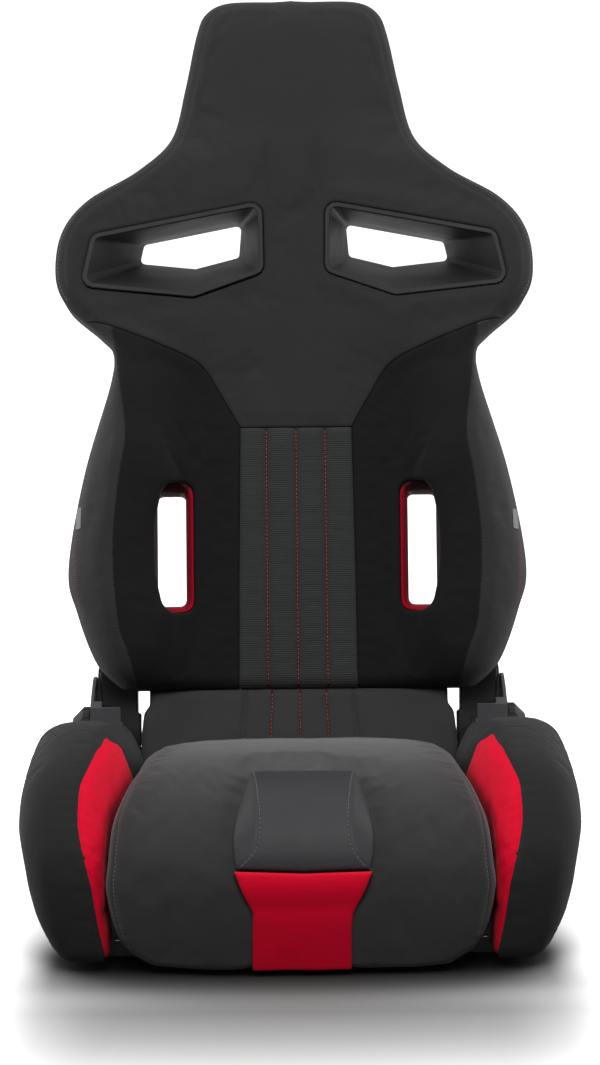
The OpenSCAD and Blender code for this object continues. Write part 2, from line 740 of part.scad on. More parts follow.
module backrest_frame() {
    color(black_steel) on_back() union() {
        pipe(rounded(hoop_points, 26, 3), [0, 1, 0], hoop_r, tube_wall, 12);
        for (v = cross_v) {
            half = hoop_reach(v) - hoop_r + tube_wall;
            x_ring(-half, half, -cross_w, v, cross_r, cross_r - tube_wall);
        }
        for (s = [false, true]) mirrored(s) difference() {
            translate([lug_x, -arm_w - lug_half, lug_v[0]])
                cube([plate_t, 2 * lug_half, lug_v[1] - lug_v[0]]);
            for (v = arm_bolt_v)
                x_rod(lug_x - 1, arm_x + 1, -arm_w, v, arm_bolt_d / 2 + bore_gap);
        }
    }
}

// The hoop's distance from the middle at height v, on its lower straight runs
function hoop_reach(v) =
    let (p = hoop_half, i = v < p[1][1] ? 0 : v < p[2][1] ? 1 : 2,
        f = (v - p[i][1]) / (p[i + 1][1] - p[i][1]))
    p[i][0] + f * (p[i + 1][0] - p[i][0]);

back_spring_x = [for (i = [0:back_spring_n - 1]) (i - (back_spring_n - 1) / 2) * 62];

// Springs from the lower cross tube up to the upper one
module on_cross_tubes() {
    translate([0, -cross_w, cross_v[0]]) rotate([90, 0, 0])
        translate([0, 0, back_lift]) children();
}

module back_springs() {
    color(black_steel) on_back() on_cross_tubes() for (x = back_spring_x)
        translate([x, 0, 0]) zigzag(cross_v[1] - cross_v[0]);
}

module back_spring_clips() {
    color(zinc) on_back() on_cross_tubes()
        for (x = back_spring_x, y = [0, cross_v[1] - cross_v[0]])
            translate([x, y, 0]) spring_clip(cross_r, back_lift);
}

// ---------- backrest pads ----------

// Right half of the back's outline, from the lower corner to the top
half_outline = spline([
    [arm_x + 1, skirt_v], [cap_x - 1, cap_top + 2],
    [lumbar_w / 2 - 9, lumbar_v - 50], [lumbar_w / 2, lumbar_v],
    [lumbar_w / 2 - 19, lumbar_v + 105], [waist_w / 2, waist_v - 18],
    [waist_w / 2 + 1, waist_v + 14], [waist_w / 2 + 18, waist_v + 32],
    [shoulder_w / 2 - 12, shoulder_v - 39], [shoulder_w / 2, shoulder_v - 6],
    [shoulder_w / 2 - 7, shoulder_v + 42], [shoulder_w / 2 - 36, shoulder_v + 80],
    [(shoulder_w + neck_w) / 4 - 28, neck_v - 41], [neck_w / 2, neck_v - 3],
    [neck_w / 2 - 16, neck_v + 56], [head_w / 2, neck_v + head_up * 0.75],
    [head_w / 2 - 12, top_v - 14], [head_w / 2 - 36, top_v - 1]], 4);
outline = both_halves(concat(half_outline, [[20, top_v]]));

// Seam under the shoulders: from the middle panel's top corner out to the edge
panel_top = waist_v - 75;
seam_line = [[panel_half, panel_top], [panel_half + 45.6, waist_v - 3.3],
    [waist_w / 2 - 55, waist_v + 17.5], [waist_w / 2 - 25, waist_v + 29],
    [waist_w / 2 + 1, waist_v + 39], [shoulder_w, waist_v + 45]];

// Everything above (up = true) or below the shoulder seam
module seam_side(up) {
    line = [for (p = seam_line) p + [0, up ? seam / 2 : -seam / 2]];
    far = up ? top_v + 50 : 0;
    polygon(concat([for (p = reverse(line)) [-p[0], p[1]]], line,
        [[shoulder_w, far], [-shoulder_w, far]]));
}

// Depth of the lumbar pads across the back: flat, then up to the bolsters' ridges.
// across is the share of the way from the middle panel to the outline, and rise the
// share of the way from the flat to the ridge.
function lumbar_point(across, rise) = [
    panel_half + across * (lumbar_w / 2 - panel_half),
    -pad_front - rise * (ridge_front - pad_front)];
lumbar_plan = concat([[0, -pad_back], [0, -pad_front]],
    spline([lumbar_point(0.02, 0), lumbar_point(0.17, 0.05), lumbar_point(0.42, 0.35),
        lumbar_point(0.56, 0.7), lumbar_point(0.68, 0.93), lumbar_point(0.78, 1),
        lumbar_point(0.92, 0.74), [lumbar_w / 2 + 1, -ridge_front + 60]], 4),
    [[lumbar_w / 2 + 1, -pad_back]]);

// Depth of the bolsters up the back
lumbar_side = concat([[-pad_back, skirt_v]], spline([[-ridge_front + 58, skirt_v],
        [-ridge_front + 20, skirt_v + 26], [-ridge_front, lumbar_v - 20],
        [-ridge_front, lumbar_v + 110], [-ridge_front + 16, waist_v - 20],
        [-wing_front, waist_v + 52]], 4), [[-pad_back, waist_v + 52]]);

// Depth of the shoulders across the back: the wings curl forward
wing_plan = concat([[0, -pad_back], [0, -pad_front]],
    spline([[28, -pad_front], [44, -pad_front - 2], [120, -pad_front - 18],
        [shoulder_w / 2 - 34, -wing_front + 5], [shoulder_w / 2 - 12, -wing_front],
        [shoulder_w / 2 + 1, -wing_front + 26]], 4),
    [[shoulder_w / 2 + 1, -pad_back]]);

// Depth of the head and shoulders up the back
head_side = concat([[-pad_back, panel_top - 1], [-pad_front, panel_top - 1],
        [-pad_front, waist_v - 10], [-wing_front, waist_v + 24], [-wing_front, neck_v - 60]],
    spline([[-wing_front + 14, neck_v - 34], [-pad_front - 6, neck_v],
        [-pad_front, neck_v + 40], [-pad_front + 1, top_v - 46],
        [-pad_front + 12, top_v - 14], [-pad_front + 26, top_v]], 3),
    [[-pad_back, top_v]]);

// Outline, plan and side view of the pads, crossed, for both halves or the left
module crossed_pads(plan, side, halves) {
    intersection() {
        w_slab(pad_back, ridge_front + 1) polygon(outline);
        union() for (s = halves) mirrored(s) linear_extrude(top_v + 1) polygon(plan);
        x_slab(-shoulder_w, shoulder_w) polygon(side);
    }
}

module centre_pad() {
    color(grey_fabric) on_back()
        translate([0, 0, skirt_v]) linear_extrude(panel_top - seam / 2 - skirt_v) polygon([
            [-panel_half + seam / 2, -pad_back], [-panel_half + seam / 2, -pad_front + 2],
            [0, -pad_front], [panel_half - seam / 2, -pad_front + 2],
            [panel_half - seam / 2, -pad_back]]);
}

module side_pad() {
    color(black_fabric) on_back() difference() {
        intersection() {
            crossed_pads(lumbar_plan, lumbar_side, [false]);
            w_slab(0, ridge_front + 2) seam_side(false);
            translate([panel_half + seam / 2, -ridge_front - 2, 0])
                cube([shoulder_w, ridge_front + 2, top_v]);
        }
        lumbar_plug();
    }
}

module head_pad() {
    color(black_fabric) on_back() difference() {
        intersection() {
            crossed_pads(wing_plan, head_side, [false, true]);
            w_slab(0, ridge_front + 2) seam_side(true);
        }
        for (s = [false, true]) mirrored(s) shoulder_plug();
    }
}

// Pad that fills the gap over the shaft, round about the hinge so that it can turn
module lower_back_pad() {
    half = cushion_rear_w / 2 - 1;
    rear = -30;
    color(black_fabric) on_back() difference() {
        x_slab(-half, half) union() {
            circle(r = lower_pad_r, $fn = 96);
            translate([-lower_pad_r, 0]) square([lower_pad_r - rear, skirt_v - seam]);
        }
        x_rod(-half - 1, half + 1, 0, 0, shaft_d / 2 + 3);
    }
}

// Dished cover behind the back, open towards the pads
module back_cover() {
    front = pad_back - run;
    levels = [[0, front], [0, -cover_back + 16], [5, -cover_back + 4], [13, -cover_back]];
    ring = function (d, w) [for (p = inset(outline, d)) [p[0], -w, p[1]]];
    outer = [for (l = levels) ring(1 + l[0], l[1])];
    inner = [for (l = levels) ring(1 + cover_wall + l[0], l[1] + (l[1] < front ? cover_wall : 1))];
    color(black_fabric) on_back() difference() {
        loft(outer);
        loft(inner);
        for (s = [false, true]) mirrored(s) {
            shoulder_plug();
            lumbar_plug();
            // Notch for the arm, from below
            translate([arm_x - plate_t - 2, -pad_back - 1, skirt_v - 4])
                cube([2 * plate_t + 9, pad_back - arm_w + lug_half + 2, 48]);
        }
    }
}

// ---------- slot frames ----------

// Corners of a shoulder slot in its front rim and at the back, as (x, v)
slot_front = [[41, shoulder_v + 75], [shoulder_w / 2 - 47, shoulder_v + 35],
    [shoulder_w / 2 - 36, shoulder_v - 14], [114, shoulder_v - 23], [40, shoulder_v + 5]];
slot_rear = [[60, shoulder_v + 68], [shoulder_w / 2 - 94, shoulder_v + 46],
    [shoulder_w / 2 - 89, shoulder_v + 24], [114, shoulder_v + 17], [63, shoulder_v + 30]];
slot_split = -6;                          // where the front frame meets the rear one

// Front surface of the wings along a slot, as a plane over x
function rim_w(x) = pad_front + 3 + (wing_front - pad_front - 4) * (x - 42) / (shoulder_w / 2 - 72);

// Corners of the slot's funnel at depth w
function slot_at(w) = [for (i = [0:4])
    let (f = (rim_w(slot_front[i][0]) - w) / (rim_w(slot_front[i][0]) + cover_back))
    slot_front[i] * (1 - f) + slot_rear[i] * f];

slot_round = 7;
function rim_ring(grow, lift) = [for (p = inset(rounded_loop(reverse(slot_front), slot_round, 3), -grow))
    [p[0], -rim_w(p[0]) - lift, p[1]]];
function slot_ring(w, grow) = [for (p = inset(rounded_loop(reverse(slot_at(w)), slot_round * 0.7, 3), -grow))
    [p[0], -w, p[1]]];
function reverse(p) = [for (i = [len(p) - 1:-1:0]) p[i]];

// What a slot takes out of the pads and the cover
module shoulder_plug() {
    wall = bezel_t + run;
    loft([rim_ring(wall + 3, 40), rim_ring(wall + 3, 1 - run), rim_ring(wall, -4),
        slot_ring(slot_split, wall), slot_ring(-cover_back - 3, wall),
        slot_ring(-cover_back - 6, wall)]);
}

module shoulder_bezel() {
    color(black_plastic) on_back() ring_loft([
        rim_ring(bezel_t, -4), slot_ring(slot_split, bezel_t), slot_ring(slot_split, 0),
        rim_ring(0, 0), rim_ring(1, 3), rim_ring(bezel_t + 2, 3), rim_ring(bezel_t + 3, 1)]);
}

module rear_bezel() {
    lip = -cover_back - 2.5;
    color(black_plastic) on_back() ring_loft([
        slot_ring(slot_split - run, bezel_t), slot_ring(-cover_back - run, bezel_t),
        slot_ring(-cover_back - run, bezel_t + 7), slot_ring(lip, bezel_t + 6),
        slot_ring(lip, 0), slot_ring(slot_split - run, 0)]);
}

// A lumbar slot narrows towards the back: (left, right, low, high) at depth w
liner_front = pad_front + 10;
function liner_ring(w, grow) =
    let (f = (liner_front - w) / (liner_front + cover_back),
        x0 = lumbar_slot_x - lumbar_slot_w / 2 + 11 * f, x1 = lumbar_slot_x + lumbar_slot_w / 2 - 5 * f,
        v0 = lumbar_slot_v - lumbar_slot_h / 2 + 5 * f, v1 = lumbar_slot_v + lumbar_slot_h / 2 - 5 * f)
    [for (p = inset(rounded_loop([[x0, v0], [x1, v0], [x1, v1], [x0, v1]], 9, 4), -grow))
        [p[0], -w, p[1]]];

module lumbar_plug() {
    loft([liner_ring(ridge_front + 4, bezel_t + run), liner_ring(-cover_back - 4, bezel_t + run)]);
}

module lumbar_liner() {
    lip = -cover_back - 2;
    color(red_fabric) on_back() ring_loft([
        liner_ring(pad_front - 2, bezel_t), liner_ring(-cover_back - run, bezel_t),
        liner_ring(-cover_back - run, bezel_t + 5), liner_ring(lip, bezel_t + 5),
        liner_ring(lip, 0), liner_ring(pad_front - 2, 0)]);
}

// ---------- the nodes ----------

side_member();  // side_member_left
mirrored(true) side_member();  // side_member_right
seat_tube(front_tube_y, front_tube_z);  // front_tube
seat_tube(rear_tube_y, rear_tube_z);  // rear_tube
seat_springs();
seat_spring_clips();
seat_cushion();
pommel_pad();
pommel_apron();
base_bolster();  // base_bolster_left
mirrored(true) base_bolster();  // base_bolster_right
bolster_facing();  // bolster_facing_left
mirrored(true) bolster_facing();  // bolster_facing_right
base_plate();  // base_plate_left
mirrored(true) base_plate();  // base_plate_right
plate_bolts();
plate_nuts();
recliner_housing();  // recliner_housing_left
mirrored(true) recliner_housing();  // recliner_housing_right
side_cover();  // side_cover_left
mirrored(true) side_cover();  // side_cover_right
cover_screws();
cross_shaft();
knob();  // knob_left
mirrored(true) knob();  // knob_right
knob_screws();
arm();  // arm_left
mirrored(true) arm();  // arm_right
recliner_disc();  // recliner_disc_left
mirrored(true) recliner_disc();  // recliner_disc_right
arm_cap();  // arm_cap_left
mirrored(true) arm_cap();  // arm_cap_right
arm_bolts();
arm_nuts();
backrest_frame();
back_springs();
back_spring_clips();
lower_back_pad();
centre_pad();
side_pad();  // side_pad_left
mirrored(true) side_pad();  // side_pad_right
head_pad();
back_cover();
shoulder_bezel();  // shoulder_bezel_left
mirrored(true) shoulder_bezel();  // shoulder_bezel_right
rear_bezel();  // rear_bezel_left
mirrored(true) rear_bezel();  // rear_bezel_right
lumbar_liner();  // lumbar_liner_left
mirrored(true) lumbar_liner();  // lumbar_liner_right
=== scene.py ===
import json
import math

import bmesh
import bpy
import numpy as np
from mathutils import Matrix, Vector
from mathutils import noise as noise3
from mathutils.geometry import delaunay_2d_cdt


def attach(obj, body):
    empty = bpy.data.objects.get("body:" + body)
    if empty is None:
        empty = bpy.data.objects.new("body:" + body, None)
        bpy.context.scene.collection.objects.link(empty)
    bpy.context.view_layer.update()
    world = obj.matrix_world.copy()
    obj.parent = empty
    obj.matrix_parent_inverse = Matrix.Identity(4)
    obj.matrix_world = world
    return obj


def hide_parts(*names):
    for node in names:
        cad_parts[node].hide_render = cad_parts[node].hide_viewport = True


# Racing seat. The back is worked in its own frame, in millimetres: x, height v
# up the back from the hinge axis, depth w towards the sitter.
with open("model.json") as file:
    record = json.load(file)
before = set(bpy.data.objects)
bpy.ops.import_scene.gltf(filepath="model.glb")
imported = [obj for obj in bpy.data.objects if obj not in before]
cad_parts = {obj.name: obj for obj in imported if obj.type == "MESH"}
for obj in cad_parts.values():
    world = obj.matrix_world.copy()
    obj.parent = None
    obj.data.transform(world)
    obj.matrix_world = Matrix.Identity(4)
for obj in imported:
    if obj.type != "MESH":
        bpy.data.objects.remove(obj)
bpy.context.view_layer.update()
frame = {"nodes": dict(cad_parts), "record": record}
nodes = frame["nodes"]

MM = 0.001
HINGE = np.array([0.0, 0.200, 0.110])
LEAN = math.radians(15)
UP_BACK = np.array([0.0, math.sin(LEAN), math.cos(LEAN)])
OUT_BACK = np.array([0.0, -math.cos(LEAN), math.sin(LEAN)])
SIDES = ((1, "left"), (-1, "right"))
FLIP = np.array([-1.0, 1.0])
FAR = 1e9
TINY = 1e-12


def on_back(x, v, w):
    """Points of the back's frame, in mm, as points of the row frame, in metres."""
    x, v, w = (np.asarray(a, float).reshape(-1, 1) for a in (x, v, w))
    return HINGE + MM * (x * np.array([1.0, 0, 0]) + w * OUT_BACK + v * UP_BACK)


def add_object(name, data):
    obj = bpy.data.objects.new(name, data)
    bpy.context.scene.collection.objects.link(obj)
    return obj


# ---------- shader nodes ----------


def fill(tree, node, values):
    """Sets a node's inputs to numbers, or links other nodes' outputs to them."""
    for key, value in values.items():
        if isinstance(value, bpy.types.NodeSocket):
            tree.links.new(value, node.inputs[key])
        else:
            node.inputs[key].default_value = value


def make(tree, kind, values=None, **settings):
    node = tree.nodes.new("ShaderNode" + kind)
    for key, value in settings.items():
        setattr(node, key, value)
    fill(tree, node, values or {})
    return node


def maths(tree, op, *values):
    return make(tree, "Math", dict(enumerate(values)), operation=op).outputs[0]


def parts_of(tree, vector):
    return make(tree, "SeparateXYZ", {0: vector}).outputs


def ramp(tree, value, start, end, high=1.0, low=0.0):
    """low before start, high after end and a smooth step between them."""
    return make(tree, "MapRange", {"Value": value, "From Min": start, "From Max": end,
                                   "To Min": low, "To Max": high},
                interpolation_type="SMOOTHSTEP").outputs[0]


def seen_directly(tree):
    """1 for camera, glossy and transmission rays, as a node output."""
    path = make(tree, "LightPath").outputs
    seen = maths(tree, "MAXIMUM", path["Is Camera Ray"], path["Is Glossy Ray"])
    return maths(tree, "MAXIMUM", seen, path["Is Transmission Ray"])


def by_sight(tree, unseen, seen):
    """One value for the light that reaches the object, another for what is seen."""
    return make(tree, "Mix", {0: seen_directly(tree), 2: unseen, 3: seen},
                data_type="FLOAT").outputs[0]


def new_material(name, rough, specular=0.5, metallic=0.0):
    mat = bpy.data.materials.new(name)
    mat.use_nodes = True
    tree = mat.node_tree
    shader = tree.nodes["Principled BSDF"]
    fill(tree, shader, {"Roughness": rough, "Metallic": metallic,
                        "Specular IOR Level": specular})
    return mat, tree, shader


# ---------- camera, light and floor ----------

# A pinhole camera fitted to the photo; focal length and lens axis in its pixels
PHOTO_W, PHOTO_H = 600, 1065
SENSOR = 36.0
FOCAL_PX = 3231.77
CAMERA_AT = (0.0, -3.3375, 1.0988)
CAMERA_DOWN = math.radians(11)
CAMERA_ROLL = 0.0108
AXIS_COL, AXIS_ROW = 296.5, 484.18
AMBIENT = 0.18
# the floor's colour for bounce light, its glow, and the power and reach of its painted contact
# shadow
FLOOR_BOUNCE, FLOOR_GLOW, CONTACT = 0.08, 0.60, 4.0
CONTACT_REACH = 0.45


def add_camera():
    data = bpy.data.cameras.new("camera")
    data.sensor_fit = "AUTO"
    data.sensor_width = SENSOR
    data.lens = FOCAL_PX / PHOTO_H * SENSOR
    data.shift_x = (PHOTO_W / 2 - AXIS_COL) / PHOTO_H
    data.shift_y = -(PHOTO_H / 2 - AXIS_ROW) / PHOTO_H
    data.clip_start, data.clip_end = 0.05, 60
    tilt = Matrix.Rotation(math.pi / 2 - CAMERA_DOWN, 4, "X")
    roll = Matrix.Rotation(-CAMERA_ROLL, 4, "Z")
    cam = add_object("camera", data)
    cam.matrix_world = Matrix.Translation(CAMERA_AT) @ tilt @ roll
    bpy.context.scene.camera = cam


def add_lamp(kind, name, strength, direction, at=(0, 0, 0)):
    data = bpy.data.lights.new(name, kind)
    data.energy = strength
    lamp = add_object(name, data)
    lamp.location = at
    lamp.rotation_euler = Vector(direction).to_track_quat("-Z", "Y").to_euler()
    return data


def add_area(name, at, target, size, watts):
    data = add_lamp("AREA", name, watts, Vector(target) - Vector(at), at)
    data.shape = "RECTANGLE"
    data.size, data.size_y = size


def add_world():
    world = bpy.data.worlds.new("studio")
    bpy.context.scene.world = world
    world.use_nodes = True
    tree = world.node_tree
    fill(tree, tree.nodes["Background"], {"Strength": by_sight(tree, AMBIENT, 1.0),
                                          "Color": (1, 1, 1, 1)})


def add_floor():
    """A white floor that keeps the lamps' shadows, with a painted contact shadow and a painted
    shadow pool ahead of the seat; the object's own light from below is dimmer.
    """
    bpy.ops.mesh.primitive_plane_add(size=1, location=(0, 10, 0))
    floor = bpy.context.object
    floor.name = "floor"
    floor.scale = (60, 60, 1)
    mat, tree, shader = new_material("floor", 0.8, 0.1)
    floor.data.materials.append(mat)

    def times(product, *values):
        for value in values:
            product = maths(tree, "MULTIPLY", product, value)
        return product

    def without(value):
        return maths(tree, "SUBTRACT", 1.0, value)

    x, y, _ = parts_of(tree, make(tree, "NewGeometry").outputs["Position"])
    side = maths(tree, "ABSOLUTE", x)
    # painted contact shadow: occlusion near the seat darkens the floor's colour, most of all ahead
    # of the seat; the contact shadow is deepest ahead of the seat, where the photo's lies
    ahead = times(ramp(tree, y, -0.07, -0.20, 0.86), ramp(tree, side, 0.300, 0.245, 1.0, 0.25))
    ahead = maths(tree, "ADD", ahead, 0.14)
    near = make(tree, "AmbientOcclusion", {"Distance": CONTACT_REACH}, samples=64)
    open_sky = maths(tree, "POWER", near.outputs["AO"], CONTACT)
    painted_contact_shade = without(times(ahead, without(open_sky)))
    # painted shadow pool: a soft dark patch in the floor's colour ahead of the seat
    painted_shadow_pool = times(ramp(tree, y, -0.64, -0.40, 0.56), ramp(tree, y, -0.30, -0.37),
                 ramp(tree, side, 0.345, 0.185))
    level = times(painted_contact_shade, without(painted_shadow_pool))
    # close ahead of the seat the lamps alone make the floor white
    lit = times(ramp(tree, y, -0.22, -0.30, 0.55), ramp(tree, y, -1.8, -1.0),
                ramp(tree, side, 1.3, 0.7))
    glow = times(maths(tree, "SUBTRACT", FLOOR_GLOW, lit), seen_directly(tree))
    fill(tree, shader, {"Base Color": by_sight(tree, FLOOR_BOUNCE, level),
                        "Emission Color": level, "Emission Strength": glow})


add_camera()
add_world()
add_floor()
add_lamp("SUN", "overhead light", 1.12, (0.0, -0.10, -1.0)).angle = math.radians(50)
add_area("left light", (-2.1, 0.4, 0.9), (0, 0.1, 0.5), (0.8, 1.8), 36)
add_area("right light", (2.1, 0.4, 0.9), (0, 0.1, 0.5), (0.8, 1.8), 36)
add_area("front light", (0, -2.4, 2.5), (0, 0.1, 0.45), (1.4, 1.0), 94)
bpy.context.scene.view_settings.view_transform = "Standard"

# ---------- materials ----------


def noise(tree, vector, scale, detail=2.0, rough=0.5):
    return make(tree, "TexNoise", {"Vector": vector, "Scale": scale, "Detail": detail,
                                   "Roughness": rough}).outputs["Fac"]


def object_vector(tree):
    return make(tree, "TexCoord").outputs["Object"]


def wave(tree, value, pitch):
    """sin of a length in metres, one turn per pitch."""
    return maths(tree, "SINE", maths(tree, "MULTIPLY", value, 2 * math.pi / pitch))


def add_bump(tree, shader, height, distance, strength, below=None):
    values = {"Height": height, "Distance": distance, "Strength": strength}
    if below is not None:
        values["Normal"] = below
    bump = make(tree, "Bump", values).outputs[0]
    fill(tree, shader, {"Normal": bump})
    return bump


def linear(srgb):
    return [c / 255 / 12.92 if c / 255 <= 0.04045 else ((c / 255 + 0.055) / 1.055) ** 2.4
            for c in srgb]


def vary_colour(tree, shader, srgb, fac, spread):
    """Base colour that drifts between a darker and a lighter shade."""
    dark, light = ((*[min(1, c * k) for c in linear(srgb)], 1) for k in (1 - spread, 1 + spread))
    mix = make(tree, "Mix", {"Factor": fac, "A": dark, "B": light}, data_type="RGBA")
    fill(tree, shader, {"Base Color": mix.outputs["Result"]})


DIAGONAL = 1.41                    # the yarns run at 45 degrees


def woven(name, colour, pitch, depth, rough=0.9, sheen=0.12, spread=0.16, ribs=None):
    """Cloth: yarns cross at the given pitch; ribs = pitch of cross ribs, if any."""
    mat, tree, shader = new_material(name, rough, 0.08)
    place = object_vector(tree)
    x, y, z = parts_of(tree, place)
    up = maths(tree, "MULTIPLY_ADD", y, 0.45, z)
    across = maths(tree, "MULTIPLY_ADD", y, 0.35, x)
    a, b = (wave(tree, maths(tree, op, across, up), pitch * DIAGONAL)
            for op in ("ADD", "SUBTRACT"))
    yarn = maths(tree, "MULTIPLY", a, b)
    if ribs:
        yarn = maths(tree, "MULTIPLY_ADD", yarn, 0.3, wave(tree, up, ribs))
    fuzz = maths(tree, "MULTIPLY", noise(tree, place, 900), 0.4)
    mixed = maths(tree, "MULTIPLY_ADD", noise(tree, place, 26, 3), 0.6, fuzz)
    vary_colour(tree, shader, colour, mixed, spread)
    slow = add_bump(tree, shader, noise(tree, place, 60), 0.0006, 0.35)
    add_bump(tree, shader, yarn, depth, 0.8, slow)
    fill(tree, shader, {"Sheen Weight": sheen, "Sheen Roughness": 0.5,
                        "Sheen Tint": (1, 1, 1, 1)})
    return mat


def grained(name, colour, rough, grain, depth, specular):
    """Leather or moulded plastic: a pebbled grain of the given size."""
    mat, tree, shader = new_material(name, rough, specular)
    place = object_vector(tree)
    cells = make(tree, "TexVoronoi", {"Vector": place, "Scale": 1 / grain}, feature="SMOOTH_F1")
    cells.inputs["Smoothness"].default_value = 0.5
    soft = noise(tree, place, 34, 3)
    vary_colour(tree, shader, colour, soft, 0.1)
    rubbed = maths(tree, "MULTIPLY_ADD", noise(tree, place, 14, 3), 0.22, rough - 0.11)
    fill(tree, shader, {"Roughness": rubbed})
    slow = add_bump(tree, shader, soft, 0.0008, 0.3)
    add_bump(tree, shader, cells.outputs["Distance"], depth, 0.7, slow)
    return mat


def metal(name, colour, rough, metallic):
    """Painted or plated steel with fine streaks and scattered wear."""
    mat, tree, shader = new_material(name, rough, metallic=metallic)
    place = object_vector(tree)
    drawn = make(tree, "VectorMath", {0: place, 1: (40, 40, 400)}, operation="MULTIPLY")
    lines = noise(tree, drawn.outputs[0], 6, 3)
    worn = noise(tree, place, 55, 4, 0.6)
    vary_colour(tree, shader, colour, worn, 0.18)
    fill(tree, shader, {"Roughness": maths(tree, "MULTIPLY_ADD", lines, 0.2, rough - 0.1)})
    add_bump(tree, shader, worn, 0.0002, 0.25)
    return mat


# Colours are sRGB; then each function's sizes and strengths, in its own order
MATERIALS = {name: kind(name, *how) for kind, name, *how in (
    (woven, "black_fabric", (45, 45, 46), 0.0022, 0.00018, 0.9, 0.05),
    # lighter copy of black_fabric for the lower back pad: painted light
    (woven, "low_fabric", (56, 56, 57), 0.0022, 0.00018, 0.9, 0.05),
    # darker copy of black_fabric for the side pads' inner walls: painted shade
    (woven, "inner_fabric", (23, 23, 24), 0.0022, 0.00018, 0.9, 0.02),
    # darker copy of black_fabric for the base bolsters' outer covers: painted shade
    (woven, "bolster_fabric", (34, 34, 35), 0.0022, 0.00018, 0.9, 0.02),
    (woven, "panel_fabric", (50, 51, 51), 0.0016, 0.0003, 0.9, 0.06, 0.16, 0.0026),
    (woven, "grey_fabric", (42, 42, 43), 0.0014, 0.00012, 0.9, 0.17, 0.22),
    (woven, "red_fabric", (194, 2, 37), 0.0018, 0.0001, 0.7, 0.02, 0.1),
    # darker copy of red_fabric for the slot linings: painted shade
    (woven, "liner_fabric", (140, 2, 26), 0.0018, 0.0001, 0.7, 0.02, 0.1),
    # dark red: the seams' own colour, and painted shade on the slot linings' lateral walls and
    # tops
    (woven, "red_seam", (60, 22, 25), 0.0016, 0.0001, 0.9, 0.0),
    (woven, "tag_fabric", (104, 104, 105), 0.0012, 0.0001, 0.8),
    (grained, "black_hide", (36, 36, 38), 0.6, 0.0016, 0.00025, 0.2),
    (grained, "black_plastic", (28, 28, 29), 0.6, 0.0011, 0.00006, 0.2),
    (grained, "grey_plastic", (62, 62, 64), 0.5, 0.0012, 0.00008, 0.4),
    (grained, "red_thread", (158, 84, 84), 0.7, 0.0008, 0.0001, 0.3),
    (grained, "dull_thread", (112, 44, 48), 0.7, 0.0008, 0.0001, 0.3),
    (grained, "dark_thread", (84, 84, 86), 0.6, 0.0008, 0.0001, 0.4),
    (metal, "black_steel", (34, 34, 35), 0.45, 0.15),
    (metal, "zinc", (176, 178, 182), 0.36, 0.9))}


# ---------- curves ----------


def catmull(points, n):
    """A smooth curve through the points, with n steps between two of them."""
    p = np.asarray(points, float)
    out = []
    for i in range(len(p) - 1):
        a, b, c, d = (p[min(max(i + k, 0), len(p) - 1)] for k in (-1, 0, 1, 2))
        for t in np.arange(n) / n:
            out.append(0.5 * (2 * b + (c - a) * t + (2 * a - 5 * b + 4 * c - d) * t * t
                              + (3 * b - a - 3 * c + d) * t ** 3))
    return np.array(out + [p[-1]])


def smooth_fn(knots):
    """A function through (x, y) knots without overshoot, flat beyond the ends."""
    x, y = np.array(knots, float).T
    h = np.diff(x)
    slope = np.diff(y) / h
    m = np.zeros_like(x)
    m[0], m[-1] = slope[0], slope[-1]
    same = slope[:-1] * slope[1:] > 0
    w1, w2, a, b = (q[same] for q in (2 * h[1:] + h[:-1], h[1:] + 2 * h[:-1],
                                      slope[:-1], slope[1:]))
    m[1:-1][same] = (w1 + w2) / (w1 / a + w2 / b)

    def value(q):
        q = np.clip(np.asarray(q, float), x[0], x[-1])
        i = np.clip(np.searchsorted(x, q) - 1, 0, len(x) - 2)
        t = (q - x[i]) / h[i]
        return ((1 + 2 * t) * (1 - t) ** 2 * y[i] + t * (1 - t) ** 2 * h[i] * m[i]
                + t * t * (3 - 2 * t) * y[i + 1] + t * t * (t - 1) * h[i] * m[i + 1])
    return value


def ring(loop):
    """A closed loop as a line that comes back to its first point."""
    loop = np.asarray(loop, float)
    return np.vstack([loop, loop[:1]])


def unit(vectors):
    return vectors / np.linalg.norm(vectors, axis=1)[:, None]


def lengths(line):
    """The length along a line to each of its points."""
    return np.concatenate([[0], np.cumsum(np.linalg.norm(np.diff(line, axis=0), axis=1))])


def places(line, at):
    """The points at the given lengths along a line."""
    s = lengths(line)
    return np.stack([np.interp(at, s, c) for c in line.T], axis=1)


def even(line, step, closed=False, n=None):
    """Points at equal distances along a line, n of them or about step apart."""
    p = ring(line) if closed else np.asarray(line, float)
    total = lengths(p)[-1]
    at = np.linspace(0, total, (n or max(2, int(round(total / step)))) + 1)
    return places(p, at[:-1] if closed else at)


def line_distance(points, line, closed=False):
    """Distance of each point to a polyline, and the length along it to the nearest spot."""
    p = ring(line) if closed else np.asarray(line, float)
    best = np.full(len(points), FAR)
    along = np.zeros(len(points))
    s = 0.0
    for a, b in zip(p[:-1], p[1:]):
        ab = b - a
        size = np.linalg.norm(ab)
        t = np.clip(((points - a) @ ab) / (size * size + TINY), 0, 1)
        d = np.linalg.norm(points - (a + t[:, None] * ab), axis=1)
        nearer = d < best
        best = np.where(nearer, d, best)
        along = np.where(nearer, s + t * size, along)
        s += size
    return best, along


def inside(points, loop):
    """Which points are inside a closed polygon."""
    x, y = points.T
    hit = np.zeros(len(points), bool)
    p = np.asarray(loop, float)
    for (x0, y0), (x1, y1) in zip(p, np.roll(p, -1, axis=0)):
        if y0 != y1:
            cross = (y0 > y) != (y1 > y)
            hit ^= cross & (x < (x1 - x0) * (y - y0) / (y1 - y0) + x0)
    return hit


